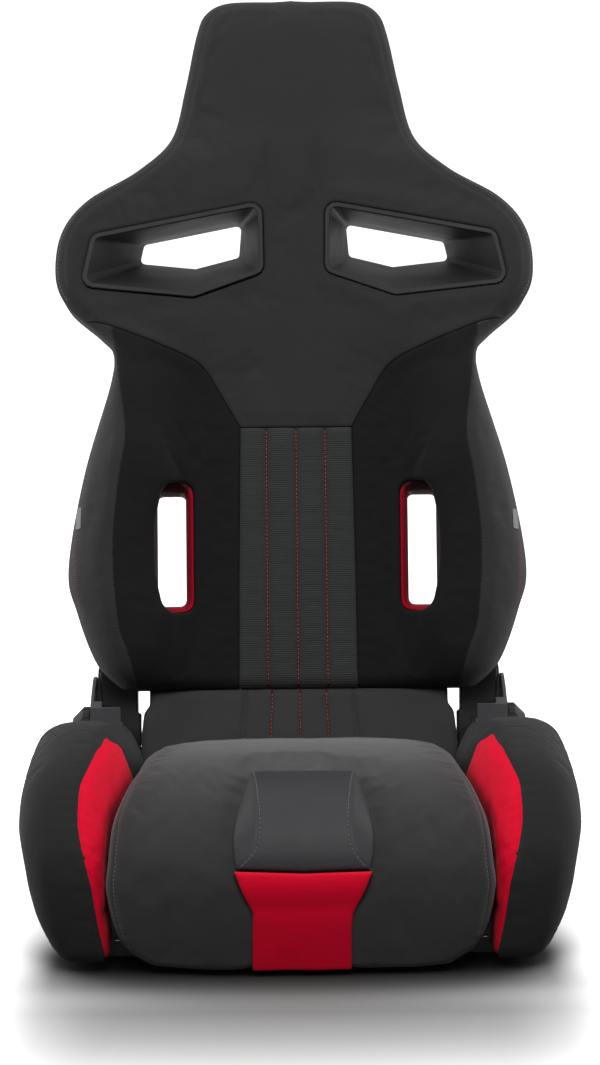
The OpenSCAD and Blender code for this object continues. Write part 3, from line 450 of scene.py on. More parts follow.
def within(points, edges):
    """Which points are inside the first edge and outside the others."""
    ok = inside(points, edges[0])
    for hole in edges[1:]:
        ok &= ~inside(points, hole)
    return ok


def normals(line, closed=False):
    """Unit normals to a line's left."""
    if closed:
        t = np.roll(line, -1, axis=0) - np.roll(line, 1, axis=0)
    else:
        t = np.gradient(line, axis=0)
    t /= np.linalg.norm(t, axis=1)[:, None] + TINY
    return np.stack([-t[:, 1], t[:, 0]], axis=1)


def beside(line, d, closed=False):
    """The line moved sideways by d, to its left."""
    line = np.asarray(line, float)
    return line + d * normals(line, closed)


def mirrored(line):
    """The line on the other side, run the other way."""
    return (np.asarray(line) * FLIP)[::-1]


def both(line):
    return [line, mirrored(line)]


def chain(*lines):
    """A closed loop of lines, without each one's last point, where the next one starts."""
    return np.vstack([np.asarray(line)[:-1] for line in lines])


def area(loop):
    """Twice a loop's area, above 0 if it runs anticlockwise."""
    x, y = loop.T
    return np.sum(x * np.roll(y, -1) - y * np.roll(x, -1))


def grown(loop, d):
    """A closed loop moved outwards by d, whichever way round it runs."""
    return beside(loop, -d if area(loop) > 0 else d, True)


def anticlockwise(loop):
    return loop if area(loop) > 0 else loop[::-1]


def corners(x0, x1, v0, v1):
    return [(x0, v0), (x1, v0), (x1, v1), (x0, v1)]


def rounded(points, r, steps=5):
    """A polygon with its corners rounded."""
    p = np.asarray(points, float)
    out = []
    for i in range(len(p)):
        a, b, c = p[i - 1], p[i], p[(i + 1) % len(p)]
        u, w = (a - b) / np.linalg.norm(a - b), (c - b) / np.linalg.norm(c - b)
        half = math.acos(float(np.clip(u @ w, -1, 1))) / 2
        reach = r / math.tan(half)
        centre = b + (u + w) / np.linalg.norm(u + w) * r / math.sin(half)
        a0, a1 = (math.atan2(*(b + q * reach - centre)[::-1]) for q in (u, w))
        turn = (a1 - a0 + math.pi) % (2 * math.pi) - math.pi
        for k in range(steps + 1):
            angle = a0 + turn * k / steps
            out.append(centre + r * np.array([math.cos(angle), math.sin(angle)]))
    return np.array(out)


def smooth_step(q, lo, hi):
    t = np.clip((q - lo) / (hi - lo), 0, 1)
    return t * t * (3 - 2 * t)


# ---------- sewn panels ----------

FLAT = {}                                          # each panel's outline points, by name
SEAM_ROWS = (0, 1.1, -1.1, 2.4, -2.4, 4.2, -4.2)   # rows of points beside a seam
ROW_KEPT = 0.93                                    # share of its distance a row's point keeps
ROW_HEIGHT = 0.87                                  # of the grid's rows, as a share of its step
EDGE_GAP = 0.3                                     # least distance of a point from an edge
CELL = 0.8                                         # one point is kept in each cell


def new_object(name, verts, faces, materials):
    mesh = bpy.data.meshes.new(name)
    mesh.from_pydata([tuple(v) for v in verts], [], [tuple(f) for f in faces])
    mesh.update()
    mesh.polygons.foreach_set("use_smooth", [True] * len(mesh.polygons))
    for m in materials:
        mesh.materials.append(MATERIALS[m])
    return add_object(name, mesh)


def turn_outwards(obj):
    bm = bmesh.new()
    bm.from_mesh(obj.data)
    bmesh.ops.recalc_face_normals(bm, faces=bm.faces)
    bm.to_mesh(obj.data)
    bm.free()
    return obj


def sheet_points(loop, holes, lines, step, rings):
    """Points over an outline: along its edges, along the given lines, and a grid between."""
    edges = [np.asarray(e) for e in (loop, *holes)]
    rows = []

    def add_row(line, r, closed=False):
        moved = beside(line, r, closed)
        rows.append(moved[line_distance(moved, line, closed)[0] > ROW_KEPT * abs(r)])

    for i, e in enumerate(edges):
        for r in rings:
            add_row(e, -r if i else r, True)
    for line in lines:
        for r in SEAM_ROWS:
            add_row(line, r)
    lo, hi = np.min(loop, axis=0), np.max(loop, axis=0)
    grid = np.array([(x + (0.5 * step if j % 2 else 0), v)
                     for j, v in enumerate(np.arange(lo[1], hi[1], step * ROW_HEIGHT))
                     for x in np.arange(lo[0], hi[0], step)])
    keep = np.ones(len(grid), bool)
    for e in edges:
        keep &= line_distance(grid, e, True)[0] > rings[-1] + 0.6 * step
    for line in lines:
        keep &= line_distance(grid, line)[0] > max(SEAM_ROWS) + 0.5 * step
    inner = np.vstack(rows + [grid[keep]])
    ok = within(inner, edges)
    for e in edges:
        ok &= line_distance(inner, e, True)[0] > EDGE_GAP
    inner = inner[ok]
    _, first = np.unique((inner // CELL).astype(int), axis=0, return_index=True)
    return edges, inner[np.sort(first)]


def triangulate(edges, inner):
    """Triangles over the outline, without its holes; the edges' points come first."""
    verts = [Vector(p) for p in np.vstack([*edges, inner])]
    pairs = []
    for e in edges:
        start, n = len(pairs), len(e)
        pairs += [(start + k, start + (k + 1) % n) for k in range(n)]
    out, _, faces, came_from, _, _ = delaunay_2d_cdt(verts, pairs, [], 0, 1e-5)
    out = np.array([tuple(v) for v in out])
    where = np.zeros(len(verts), int)
    for k, ids in enumerate(came_from):
        where[ids] = k
    faces = np.array(faces)
    return out, faces[within(out[faces].mean(axis=1), edges)], where


def strip(a, b):
    """Triangles between two closed rows of points."""
    a1, b1 = np.roll(a, -1), np.roll(b, -1)
    return np.stack([a, b, b1, a, b1, a1], axis=1).reshape(-1, 3)


def band(a, b):
    """Four-sided faces between two closed rows of points."""
    return list(zip(a, np.roll(a, -1), np.roll(b, -1), b))


def panel(name, loop, holes, lines, height, place, floor, materials, step=4.0,
          rings=(0.5, 1.4, 2.8, 4.8, 7.4), walls=5, paint=None):
    """A closed pad: a sheet raised to height(points) over an outline, walls, flat back.
    paint(points) gives the number of the material at places on the sheet."""
    edges, inner = sheet_points(loop, holes, lines, step, rings)
    flat, faces, where = triangulate(edges, inner)
    h = height(flat)
    verts, tris, cap = [place(*flat.T, h)], [faces], []
    count, first = len(flat), 0
    for e in edges:
        below = where[first:first + len(e)]
        first += len(e)
        top = h[below]
        for k in range(1, walls + 1):
            verts.append(place(*e.T, top + (floor - top) * k / walls))
            now = np.arange(count, count + len(e))
            count += len(e)
            tris.append(strip(below, now))
            below = now
        cap += list(below)
    _, back, where = triangulate(edges, np.zeros((0, 2)))
    to_cap = np.zeros(max(where) + 1, int)
    to_cap[where] = cap
    tris.append(to_cap[back[:, ::-1]])
    obj = new_object(name, np.vstack(verts), np.vstack(tris), materials)
    FLAT[name] = flat
    if paint is not None:
        index = np.zeros(len(obj.data.polygons), int)
        index[:len(faces)] = paint(flat[faces].mean(axis=1))
        obj.data.polygons.foreach_set("material_index", index)
    return turn_outwards(obj)


def shell(name, loop, holes, lines, outer, inner, place, materials, step=6.0,
          rings=(0.6, 1.6, 3.2)):
    """Two sheets over one outline, joined along its edges."""
    edges, points = sheet_points(loop, holes, lines, step, rings)
    flat, faces, where = triangulate(edges, points)
    n, first = len(flat), 0
    tris = [faces, faces[:, ::-1] + n]
    for e in edges:
        rim = where[first:first + len(e)]
        first += len(e)
        tris.append(strip(rim, rim + n))
    verts = [place(*flat.T, height(flat)) for height in (outer, inner)]
    return turn_outwards(new_object(name, np.vstack(verts), np.vstack(tris), materials))


def swept_ring(name, rings, place, materials):
    """A tube closed on itself; its rings are loops of (x, v, w), all with as many points."""
    ids = np.arange(len(rings) * len(rings[0])).reshape(len(rings), -1)
    faces = [f for a, b in zip(ids, np.roll(ids, -1, axis=0)) for f in band(a, b)]
    verts = np.vstack([place(*r.T) for r in rings])
    return turn_outwards(new_object(name, verts, faces, materials))


# Form of a stitch: share of its length, height and width at each of its rings
THREAD = ((0, -0.5, 0.35), (0.12, 0.1, 0.85), (0.5, 0.35, 1), (0.88, 0.1, 0.85), (1, -0.5, 0.35))
THREAD_SIDES = 6
THREAD_R = 0.42


def sew(name, lines, height, place, material, body, pitch, length, r=THREAD_R, across=False,
        lift=0.3):
    """Rows of stitches on a sheet: short threads that dip into it at both ends."""
    ends = []
    for line in lines:
        p = even(line, 0.5)
        mid = np.arange(pitch, lengths(p)[-1] - pitch / 2, pitch)
        a, centre, b = (places(p, mid + d) for d in (-length / 2, 0, length / 2))
        if across:
            t = unit(b - a)
            turn = np.stack([-t[:, 1], t[:, 0]], axis=1) * length / 2
            a, b = centre - turn, centre + turn
        ends.append((a, b))
    a, b = (np.vstack(e) for e in zip(*ends))
    rows = []
    for t, up, wide in THREAD:
        q = a + (b - a) * t
        h = height(q)
        rows.append((place(*q.T, h + lift + up * r / THREAD_R), wide * r * MM,
                     unit(place(*q.T, h + 1) - place(*q.T, h))))
    along = unit(rows[-1][0] - rows[0][0])
    verts = np.zeros((len(a), len(THREAD), THREAD_SIDES, 3))
    for k, (centre, radius, out) in enumerate(rows):
        side = np.cross(along, out)
        for j in range(THREAD_SIDES):
            turn = 2 * math.pi * j / THREAD_SIDES
            verts[:, k, j] = centre + radius * (math.cos(turn) * side + math.sin(turn) * out)
    faces = []
    for thread in np.arange(verts.size // 3).reshape(verts.shape[:3]):
        for low, high in zip(thread[:-1], thread[1:]):
            faces += band(low, high)
        faces += [thread[0][::-1], thread[-1]]
    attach(new_object(name, verts.reshape(-1, 3), faces, [material]), body)


CLOTH = {"quality": 4, "mass": 0.25, "tension_stiffness": 12, "compression_stiffness": 12,
         "shear_stiffness": 6, "bending_stiffness": 0.3, "shrink_min": -0.009,
         "use_pressure": True, "uniform_pressure_force": 2.2, "vertex_group_mass": "held"}
CLOTH_FRAMES = 16


def coordinates(mesh):
    p = np.zeros(len(mesh.vertices) * 3)
    mesh.vertices.foreach_get("co", p)
    return p.reshape(-1, 3)


def press(obj, held, cap=2.4, share=None):
    """Cloth pass: the cover is blown up against what holds it, and the change is kept to cap mm.
    held is 1 for points that stay and 0 for free ones. Returns the change, to use again."""
    mesh = obj.data
    before = coordinates(mesh)
    if share is None:
        copy = add_object("pressed", mesh.copy())
        group = copy.vertex_groups.new(name="held")
        group.add([int(k) for k in np.nonzero(held > 0.5)[0]], 1.0, "REPLACE")
        cloth = copy.modifiers.new("cloth", "CLOTH")
        for key, value in CLOTH.items():
            setattr(cloth.settings, key, value)
        cloth.settings.effector_weights.gravity = 0
        cloth.collision_settings.use_collision = False
        cloth.point_cache.frame_start = 1
        cloth.point_cache.frame_end = CLOTH_FRAMES
        for frame_number in range(1, CLOTH_FRAMES + 1):
            bpy.context.scene.frame_set(frame_number)
        done = copy.evaluated_get(bpy.context.evaluated_depsgraph_get()).data
        share = coordinates(done) - before
        bpy.data.objects.remove(copy)
        bpy.context.scene.frame_set(1)
        size = np.linalg.norm(share, axis=1)
        share = share * np.minimum(1, cap * MM / np.maximum(size, 1e-9))[:, None]
        share = share * (1 - held)[:, None]
    mesh.vertices.foreach_set("co", (before + share).ravel())
    mesh.update()
    return share


def held_by(obj, lines, reach, soft=6.0):
    """1 on the lines, on the walls and on the back of a panel, falling to 0 beyond reach."""
    flat = FLAT[obj.name]
    held = np.ones(len(obj.data.vertices))
    d = np.min([line_distance(flat, line)[0] for line in lines], axis=0)
    held[:len(flat)] = 1 - smooth_step(d, reach, reach + soft)
    return held


def rounding(d, r, depth):
    """How far a quarter-round edge of radius r drops at distance d from the edge."""
    t = np.clip(1 - d / r, 0, 1)
    return depth * (1 - np.sqrt(np.maximum(0, 1 - t * t)))


def wavy(points, scale, seed=0.0):
    """Smooth noise in -1..1 at each point, with features of about scale."""
    q = np.asarray(points, float) / scale
    third = q[:, 2] if q.shape[1] > 2 else np.full(len(q), seed)
    return np.array([noise3.noise(Vector((a, b, c + seed)))
                     for a, b, c in zip(q[:, 0], q[:, 1], third)])


def edge_drop(points, groups):
    """Total drop of the surface near its edges: groups of (line, radius, depth)."""
    total = np.zeros(len(points))
    for line, r, depth in groups:
        total += rounding(line_distance(points, line)[0], r, depth) ** 2
    return np.sqrt(total)


def channel(points, lines, depth, width):
    total = np.zeros(len(points))
    for line in lines:
        d = line_distance(points, line)[0]
        total = np.maximum(total, depth * np.exp(-(d / width) ** 2))
    return total


def puckers(points, line, reach, size, pitch=11.0):
    """Small folds that run into a seam."""
    d, s = line_distance(points, line)
    fold = np.sin(2 * math.pi * s / pitch + 1.7 * np.sin(s / 23.0))
    return size * fold * (0.6 + 0.4 * np.sin(s / 37.0)) * np.exp(-d / reach)


def near_lines(points, lines, reach=1.0):
    """1 for points within reach of any of the lines, else 0."""
    return (np.min([line_distance(points, line)[0] for line in lines], axis=0) < reach).astype(int)


# ---------- backrest ----------

# The right half of the silhouette, seam between side pad and head pad, as (x, v)
HALF = catmull([(197, 64), (225, 92), (247, 150), (256.5, 200), (238, 305), (206, 414),
                (205.5, 444), (221.5, 463), (255, 493), (267.5, 526), (261, 574), (232, 612),
                (175, 648), (138, 686), (122, 745), (109, 806), (98, 833), (73, 847.5),
                (20, 848.5)], 10)
SEAM = catmull([(62.6, 357), (84, 394), (107.6, 428.7), (150, 449.5), (180, 461),
                (206, 470), (226, 474.5)], 6)
SHOULDER = 120                     # points of HALF up to the top of the shoulder
TOP_MIDDLE = (0, 848.5)
PAD_BACK = 1.6                     # depth w of the pads' flat backs
# Radius and depth of the roundings: outer edge, foot of the back, sewn seam
OUTER, FOOT, SEWN = (17.0, 20.0), (15.0, 17.0), (5.0, 3.4)

ridge_w = smooth_fn([(64, 70), (90, 106), (120, 119), (180, 128), (310, 128), (360, 122),
                     (412, 112), (472, 98)])
ridge_x = smooth_fn([(64, 178), (100, 187), (137, 198), (220, 203), (300, 196), (350, 189),
                     (405, 195), (440, 200), (465, 204)])
rise_in = smooth_fn([(0, 0), (.24, .05), (.44, .17), (.58, .36), (.70, .58), (.82, .78),
                     (.94, .94), (1, 1)])
fall_out = smooth_fn([(0, 1), (.15, 1), (.75, .74), (1, .3)])
wing_plan = smooth_fn([(0, 52), (28, 52), (44, 54), (120, 70), (231, 94), (253, 98)])
wing_side = smooth_fn([(600, 130), (629, 99), (655, 84), (689, 60), (729, 53), (799, 51),
                       (834, 44), (848.5, 34)])


def back_depth(x, v):
    """Depth w of the seat back's front surface, before its edges are rounded."""
    x = np.abs(x)
    edge = np.interp(v, HALF[:SHOULDER, 1], HALF[:SHOULDER, 0])
    xr, wr = ridge_x(v), ridge_w(v)
    flat = 52 + 3 * np.exp(-((v - 190) / 90) ** 2) * (1 - smooth_step(x, 20, 120))
    inner = rise_in((x - 62) / (xr - 62))
    outer = fall_out((x - xr) / np.maximum(edge - xr, 5))
    lumbar = flat + (wr - flat) * np.where(x < xr, inner, outer)
    a, b = wing_plan(x), wing_side(v)
    k = 14.0
    t = np.maximum(k - np.abs(a - b), 0) / k
    wing = np.minimum(a, b) - t * t * k / 4
    wing = wing + 3 * smooth_step(v, 690, 740) * (1 - np.clip(x / 105, 0, 1) ** 2)
    return lumbar + (wing - lumbar) * smooth_step(v, 396, 486)


SLOT_HOLE = rounded([(41, 607), (221, 567), (232, 518), (114, 509), (40, 537)], 7)
SLOT_HOLE = anticlockwise(even(grown(SLOT_HOLE, 6.7), 3.0, True))
LINER_HOLE = anticlockwise(even(rounded(corners(115.2, 166.6, 149, 295), 13), 3.0, True))

k_end = int(np.argmin(np.hypot(HALF[:, 0] - 235, HALF[:, 1] - 476)))
seam_right = even(np.vstack([SEAM, HALF[k_end:k_end + 1]]), 2.6)
lower_edge, upper_edge = even(HALF[:k_end + 1], 3.0), even(HALF[k_end:], 3.0)
panel_side = even([(66.5, 64), (65.5, 180), (63.6, 300), (62.6, 357)], 2.6)
bottom_side = even([(195, 64), (150, 64), (66.5, 64)], 3.0)
side_loop = chain(panel_side, seam_right, lower_edge[::-1], bottom_side)
side_loop = anticlockwise(grown(side_loop, -0.35))
head_loop = chain(seam_right, upper_edge, [TOP_MIDDLE, TOP_MIDDLE], mirrored(upper_edge),
                  mirrored(seam_right), even([(-62.6, 357), (0, 357.4), (62.6, 357)], 2.6))
head_loop = anticlockwise(grown(head_loop, -0.35))

PANEL_EDGE = [(-62.6, 357), (62.6, 357)]
head_edge = np.vstack(both(upper_edge))
head_channel = beside(head_edge, 10.5)
head_seams = [*both(seam_right), PANEL_EDGE]
ridge_v = np.linspace(70, 462, 120)
ridge_seam = even(np.stack([ridge_x(ridge_v), ridge_v], axis=1), 3.0)


def head_height(p):
    # the surface is led onto the plane of the shoulder slot's plastic rim
    q = p * np.where(p[:, :1] < 0, -1.0, 1.0)
    t = 1 - smooth_step(line_distance(q, SLOT_HOLE, True)[0], 5, 34)
    rim = 55 + 42 * (np.abs(p[:, 0]) - 42) / 196
    w = back_depth(*p.T)
    w = w + (rim + 1.6 - w) * t
    groups = [(head_edge, *OUTER)] + [(s, *SEWN) for s in head_seams]
    groups += [(ring(h), 3.2, 3.0) for h in both(SLOT_HOLE)]
    w = w - edge_drop(p, groups) - channel(p, [head_channel], 1.3, 1.8)
    for s in head_seams:
        w = w + puckers(p, s, 9, 0.35)
    return w + 0.5 * wavy(p, 70, 3.0) + 0.2 * wavy(p, 22, 9.0)


def side_height(p):
    groups = [(lower_edge, *OUTER), (seam_right, *SEWN), (panel_side, *SEWN),
              (bottom_side, *FOOT), (ring(LINER_HOLE), 5.0, 5.0)]
    w = back_depth(*p.T) - edge_drop(p, groups) - channel(p, [ridge_seam], 1.0, 1.6)
    for line, reach, size, pitch in ((ridge_seam, 7, 0.2, 9), (seam_right, 9, 0.35, 11),
                                     (panel_side, 8, 0.25, 14), (LINER_HOLE, 10, 0.3, 9)):
        w = w + puckers(p, line, reach, size, pitch)
    return w + 0.6 * wavy(p, 60, 5.0) + 0.2 * wavy(p, 20, 7.0)


centre_loop = anticlockwise(chain(
    even([(-66.2, 64), (66.2, 64)], 3.0), panel_side - (0.3, 0),
    even([(62.3, 356.7), (-62.3, 356.7)], 3.0), mirrored(panel_side) + (0.3, 0)))
centre_lines = [even([(x, 66), (x * 0.985, 355)], 2.4) for x in (-34.0, 0.0, 33.0)]


def centre_height(p):
    edges = [(line, *SEWN) for line in both(panel_side) + [[(-62.3, 356.7), (62.3, 356.7)]]]
    edges.append(([(-66, 64), (66, 64)], *FOOT))
    w = back_depth(*p.T) - edge_drop(p, edges) - channel(p, centre_lines, 2.1, 3.0)
    lane = np.interp(p[:, 0], [-66, -34, 0, 33, 66], range(5)) % 1.0
    w = w + 1.3 * np.sin(math.pi * lane) ** 0.7
    for line in centre_lines:
        w = w + puckers(p, line, 6, 0.22, 8.5)
    return w + 0.3 * wavy(p, 50, 2.0)


def back_place(x, v, w):
    """on_back, with the pads' undersides drawn down a little behind, over the lower pad's top."""
    sag = 1.7 * (1 - smooth_step(v, 64.5, 80)) * (1 - smooth_step(w, 8, 32))
    return on_back(x, v - sag, w)


def side_place(sign):
    """Where a point of a side pad lies; the slot's outer lip bulges over the opening."""
    def place(x, v, w):
        off = np.abs(v - 222)
        over = (8.2 + 11.5 * np.clip(off / 73, 0, 1) ** 2.2) * (1 - smooth_step(off, 76, 150))
        over = over * np.exp(-((x - 166.6) / np.where(x > 166.6, 15, 28)) ** 2)
        return back_place(sign * (x - over * smooth_step(w, 48, 82)), v, w)
    return place


stitch_x = smooth_fn([(120, 238), (138, 241.5), (205, 246), (250, 244.5), (294, 236.5),
                      (344, 224)])
stitch_v = np.linspace(124, 342, 90)
SIDE_STITCHES = np.stack([stitch_x(stitch_v), stitch_v], axis=1)
SHOULDER_EDGE, WAIST_EDGE = (beside(HALF[(HALF[:, 1] > low) & (HALF[:, 1] < high)], 4.0)
                             for low, high in ((492, 640), (330, 404)))


def build_backrest():
    head = panel("head_and_shoulder_pad", head_loop, both(SLOT_HOLE), [head_channel],
                 head_height, on_back, PAD_BACK, ["black_fabric"])
    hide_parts("head_pad")
    press(head, held_by(head, [ring(h) for h in both(SLOT_HOLE)] + both(upper_edge)
                        + [head_channel] + head_seams, 3), 1.6)
    pieces = [head]
    change = None
    for sign, tail in SIDES:
        # the inner walls, inside the ridge, take the darker fabric: painted shade
        pad = panel("side_bolster_pad_" + tail, side_loop, [LINER_HOLE], [ridge_seam],
                    side_height, side_place(sign), PAD_BACK, ["black_fabric", "inner_fabric"],
                    paint=lambda p: (p[:, 0] < ridge_x(p[:, 1])).astype(int))
        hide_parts("side_pad_" + tail)
        held = held_by(pad, [seam_right, panel_side, lower_edge, bottom_side, ridge_seam,
                             SIDE_STITCHES, WAIST_EDGE, ring(LINER_HOLE)], 4)
        change = press(pad, held, 2.0, None if change is None else change * (-1, 1, 1))
        pieces.append(pad)
    mid = panel("ribbed_centre_panel", centre_loop, [], centre_lines, centre_height,
                back_place, PAD_BACK, ["panel_fabric", "red_seam"], step=3.6,
                paint=lambda p: near_lines(p, centre_lines))
    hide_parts("centre_pad")
    press(mid, held_by(mid, centre_lines + both(panel_side)
                       + [[(-66, 64), (66, 64)], [(-62, 356), (62, 356)]], 1.5, 3), 1.0)
    for p in pieces + [mid]:
        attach(p, "backrest")


# Rings of a lumbar slot's lining: (x0, x1, v0, v1, corner radius, depth w), where
# the first two lie just under the pad's surface
LINER_RINGS = (
    (115.8, 166.0, 149.6, 294.4, 12.6, None), (116.6, 165.6, 150.2, 293.8, 12, None),
    (121.5, 163.6, 154.2, 289.6, 9, 46), (124.6, 162.0, 156.6, 286.8, 7, 36),
    (125.6, 161.0, 157.6, 286.0, 7, 20), (126.4, 160.2, 158.2, 285.6, 7, -20),
    (126.6, 160.0, 158.4, 285.4, 7, -38.6), (126.0, 160.6, 157.8, 286.0, 7, -40.0),
    (121.0, 165.6, 152.8, 291.0, 11, -40.0), (120.4, 166.0, 152.4, 291.6, 11, -38.6),
    (123.0, 163.4, 155.4, 288.6, 9, -38.2), (123.0, 163.6, 155.0, 289.0, 9, 18),
    (118.5, 165.2, 151.6, 292.2, 11, 40))
LINER_POINTS = 96
SHADED_X, SHADED_V = 0.1585, 0.2855      # the lateral wall and the top lie in the pad's shade


def build_liners():
    """Sewn funnels of the lumbar slots: in over a slanting lip, through the back, out to a hem."""
    for sign, tail in SIDES:
        rings = []
        for k, (x0, x1, v0, v1, r, w) in enumerate(LINER_RINGS):
            q = even(rounded(corners(x0, x1, v0, v1), r), None, True, LINER_POINTS)
            if w is None:
                depth = side_height(q) - (4.5 if k == 0 else 2.6)
                depth = np.minimum(depth, 64 - 14 * smooth_step(q[:, 0], 150, 163))
            else:
                depth = np.full(len(q), float(w))
            depth = depth + 0.35 * wavy(q, 14, 3.0 + k) * (0 < k < 6)
            rings.append(np.column_stack([q, depth]))
        liner = swept_ring("lumbar_slot_lining_" + tail, rings,
                           lambda x, v, w: on_back(sign * x, v, w), ["liner_fabric", "red_seam"])
        # faces past SHADED_X or above SHADED_V take the dark red: painted shade
        for face in liner.data.polygons:
            v = (np.array(face.center) - HINGE) @ UP_BACK
            if abs(face.center.x) > SHADED_X or v > SHADED_V:
                face.material_index = 1
        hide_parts("lumbar_liner_" + tail)
        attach(liner, "backrest")


cover_half = np.vstack([[(187, 64), (187, 110), (205, 110), (205, 73)], HALF[HALF[:, 1] > 82]])
COVER_LOOP = anticlockwise(even(np.vstack(both(cover_half)), 3.0, True))
COVER_LOOP = anticlockwise(even(grown(COVER_LOOP, -1.2), 5.0, True))
REAR_SLOT = [(60, 600), (174, 578), (179, 556), (114, 549), (63, 562)]
COVER_HOLES = [anticlockwise(even(hole, 3.0, True)) for hole in (
    grown(rounded(REAR_SLOT, 5), 4.2), rounded(corners(122, 164.6, 154.4, 289.6), 9))]
COVER_HOLES += [mirrored(hole) for hole in COVER_HOLES]
cover_seams = [even([(x, 66), (x * 1.02, 420), (x * 0.5, 500), (x * 0.48, 620),
                     (x * 0.62, 838)], 3.0) for x in (-92.0, 92.0)]
cover_seams.append(even([(-238, 470), (-120, 448), (120, 448), (238, 470)], 3.0))
cover_profile = smooth_fn([(0, 1.0), (0.6, -16), (2.2, -23), (6, -31), (12, -36), (20, -38),
                           (60, -39)])


def cover_rear(p):
    d = line_distance(p, COVER_LOOP, True)[0]
    near = np.min([line_distance(p, h, True)[0] for h in COVER_HOLES], axis=0)
    w = cover_profile(d) - 4.5 * smooth_step(np.minimum(d, near * 1.6), 24, 90)
    w = w + channel(p, cover_seams, 1.3, 2.0)
    for seam in cover_seams:
        w = w + puckers(p, seam, 9, 0.3, 12)
    return w + 0.8 * wavy(p, 70, 6.0) * smooth_step(d, 4, 20) * smooth_step(near, 2, 14)


def cover_inside(p):
    d = line_distance(p, COVER_LOOP, True)[0]
    return cover_profile(np.maximum(d - 2.6, 0)) + 2.8 * smooth_step(d, 0, 3)


def build_back_cover():
    cover = shell("rear_cover_fabric", COVER_LOOP, COVER_HOLES, cover_seams, cover_rear,
                  cover_inside, on_back, ["black_fabric"])
    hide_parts("back_cover")
    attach(cover, "backrest")
    sew("rear_cover_stitching", cover_seams[:2], lambda p: -cover_rear(p),
        lambda x, v, w: on_back(x, v, -w), "dark_thread", "backrest", 6.0, 4.4)


TAG_X = (239, 246.5)
TAG_V = {"left": (237.5, 260), "right": (242, 267)}


def sew_backrest():
    sew("centre_panel_stitching", centre_lines, centre_height, on_back, "red_thread",
        "backrest", 4.6, 3.7, 0.4, lift=0.25)
    for sign, tail in SIDES:
        place = side_place(sign)
        sew("side_edge_stitching_" + tail, [SIDE_STITCHES], side_height, place, "dull_thread",
            "backrest", 2.7, 5.6, 0.55, True, 0.2)
        sew("outline_stitching_" + tail, [WAIST_EDGE], side_height, place, "dark_thread",
            "backrest", 4.2, 3.0, 0.45)
        sew("shoulder_stitching_" + tail, [SHOULDER_EDGE * (sign, 1)], head_height, on_back,
            "dark_thread", "backrest", 4.2, 3.0, 0.45)
        low, high = TAG_V[tail]
        outline = even(rounded(corners(*TAG_X, low, high), 1.2, 3), 1.2, True)
        hems = [even([(239.4, v), (246.1, v)], 1.0) for v in (low + 1.6, high - 1.6)]
        tag = shell("edge_tag_" + tail, anticlockwise(outline), [], hems,
                    lambda p: side_height(p) + 1.5 - channel(p, hems, 0.4, 0.6),
                    lambda p: side_height(p) + 0.5, place, ["tag_fabric"], 1.6, (0.4,))
        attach(tag, "backrest")


SHROUD = [(178.8, -14), (189.4, -14), (189.4, 16), (204, 16), (204, 42), (222.4, 45),
          (224, 86), (182, 78), (182, 38), (178.8, 38)]
shroud_loop = anticlockwise(even(rounded(SHROUD, 1.6, 3), 1.6, True))


def shroud_height(p):
    edge = edge_drop(p, [(ring(shroud_loop), 2.4, 2.0)])
    return 20 + 0.09 * (p[:, 1] - 16) - edge - 6 * smooth_step(-p[:, 1], -20, 14)


def build_shrouds():
    """Moulded covers over the hinge arms, between the side pad and the recliner."""
    for sign, tail in SIDES:
        shroud = panel("hinge_shroud_" + tail, shroud_loop, [], [], shroud_height,
                       lambda x, v, w: on_back(sign * x, v, w), -10, ["black_plastic"],
                       step=3.0, rings=(0.5, 1.3, 2.4), walls=3)
        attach(shroud, "backrest")


build_backrest()
build_shrouds()
build_liners()
build_back_cover()
sew_backrest()

# ---------- cushion and the pieces on it ----------

# Side view of the cushion's crest line, rear to nose, as (y, z)
CREST = catmull([(146, 132), (80, 148), (-30, 175), (-122, 186), (-192, 178), (-250, 154),
                 (-282, 116), (-285, 74.4), (-262, 3)], 30)
CREST_S = lengths(CREST)
CREST_LEN = CREST_S[-1]
CREST_N = -normals(CREST)
SKIRT = -24                        # below this height points lead underneath

# The cushion's underside below each length of the crest line, as (s, y, z)
UNDER = np.array([(0, 146, 55), (60, 110, 55), (181, -30, 60), (330, -160, 65), (400, -190, 65),
                  (440, -195, 64), (480, -195, 40), (CREST_LEN, -195, 4)])


def raised(s, h, line, at, normal):
    """The two coordinates of points at lengths s along a line, raised by h."""
    return [np.interp(s, at, line[:, k]) + h * np.interp(s, at, normal[:, k]) for k in (0, 1)]


def on_cushion(x, s, h):
    """x and a length s along the crest line, raised by h; below SKIRT it leads underneath."""
    s = np.clip(s, 0, CREST_LEN)
    y, z = raised(s, np.maximum(h, SKIRT), CREST, CREST_S, CREST_N)
    t = np.clip((SKIRT - h) / 76, 0, 1)
    y = y + t * (np.interp(s, UNDER[:, 0], UNDER[:, 1]) - y)
    z = z + t * (np.interp(s, UNDER[:, 0], UNDER[:, 2]) - z)
    return MM * np.stack([np.asarray(x, float), y, np.maximum(z, 3.2)], axis=1)


cushion_half = smooth_fn([(0, 163), (181, 166), (245, 168), (330, 180), (389, 189), (445, 192),
                          (472, 194), (514, 190), (541, 184), (560, 174), (CREST_LEN, 156)])
s_edge = np.linspace(0, CREST_LEN - 1, 160)
cushion_side = even(np.stack([cushion_half(s_edge), s_edge], axis=1), 3.4)
cushion_loop = anticlockwise(chain(
    cushion_side, even([cushion_side[-1], cushion_side[-1] * FLIP], 3.4),
    mirrored(cushion_side), even([cushion_side[0] * FLIP, cushion_side[0]], 3.4)))
cushion_seam = beside(cushion_side, 8.5)
cushion_seams = [cushion_seam, cushion_seam * FLIP]

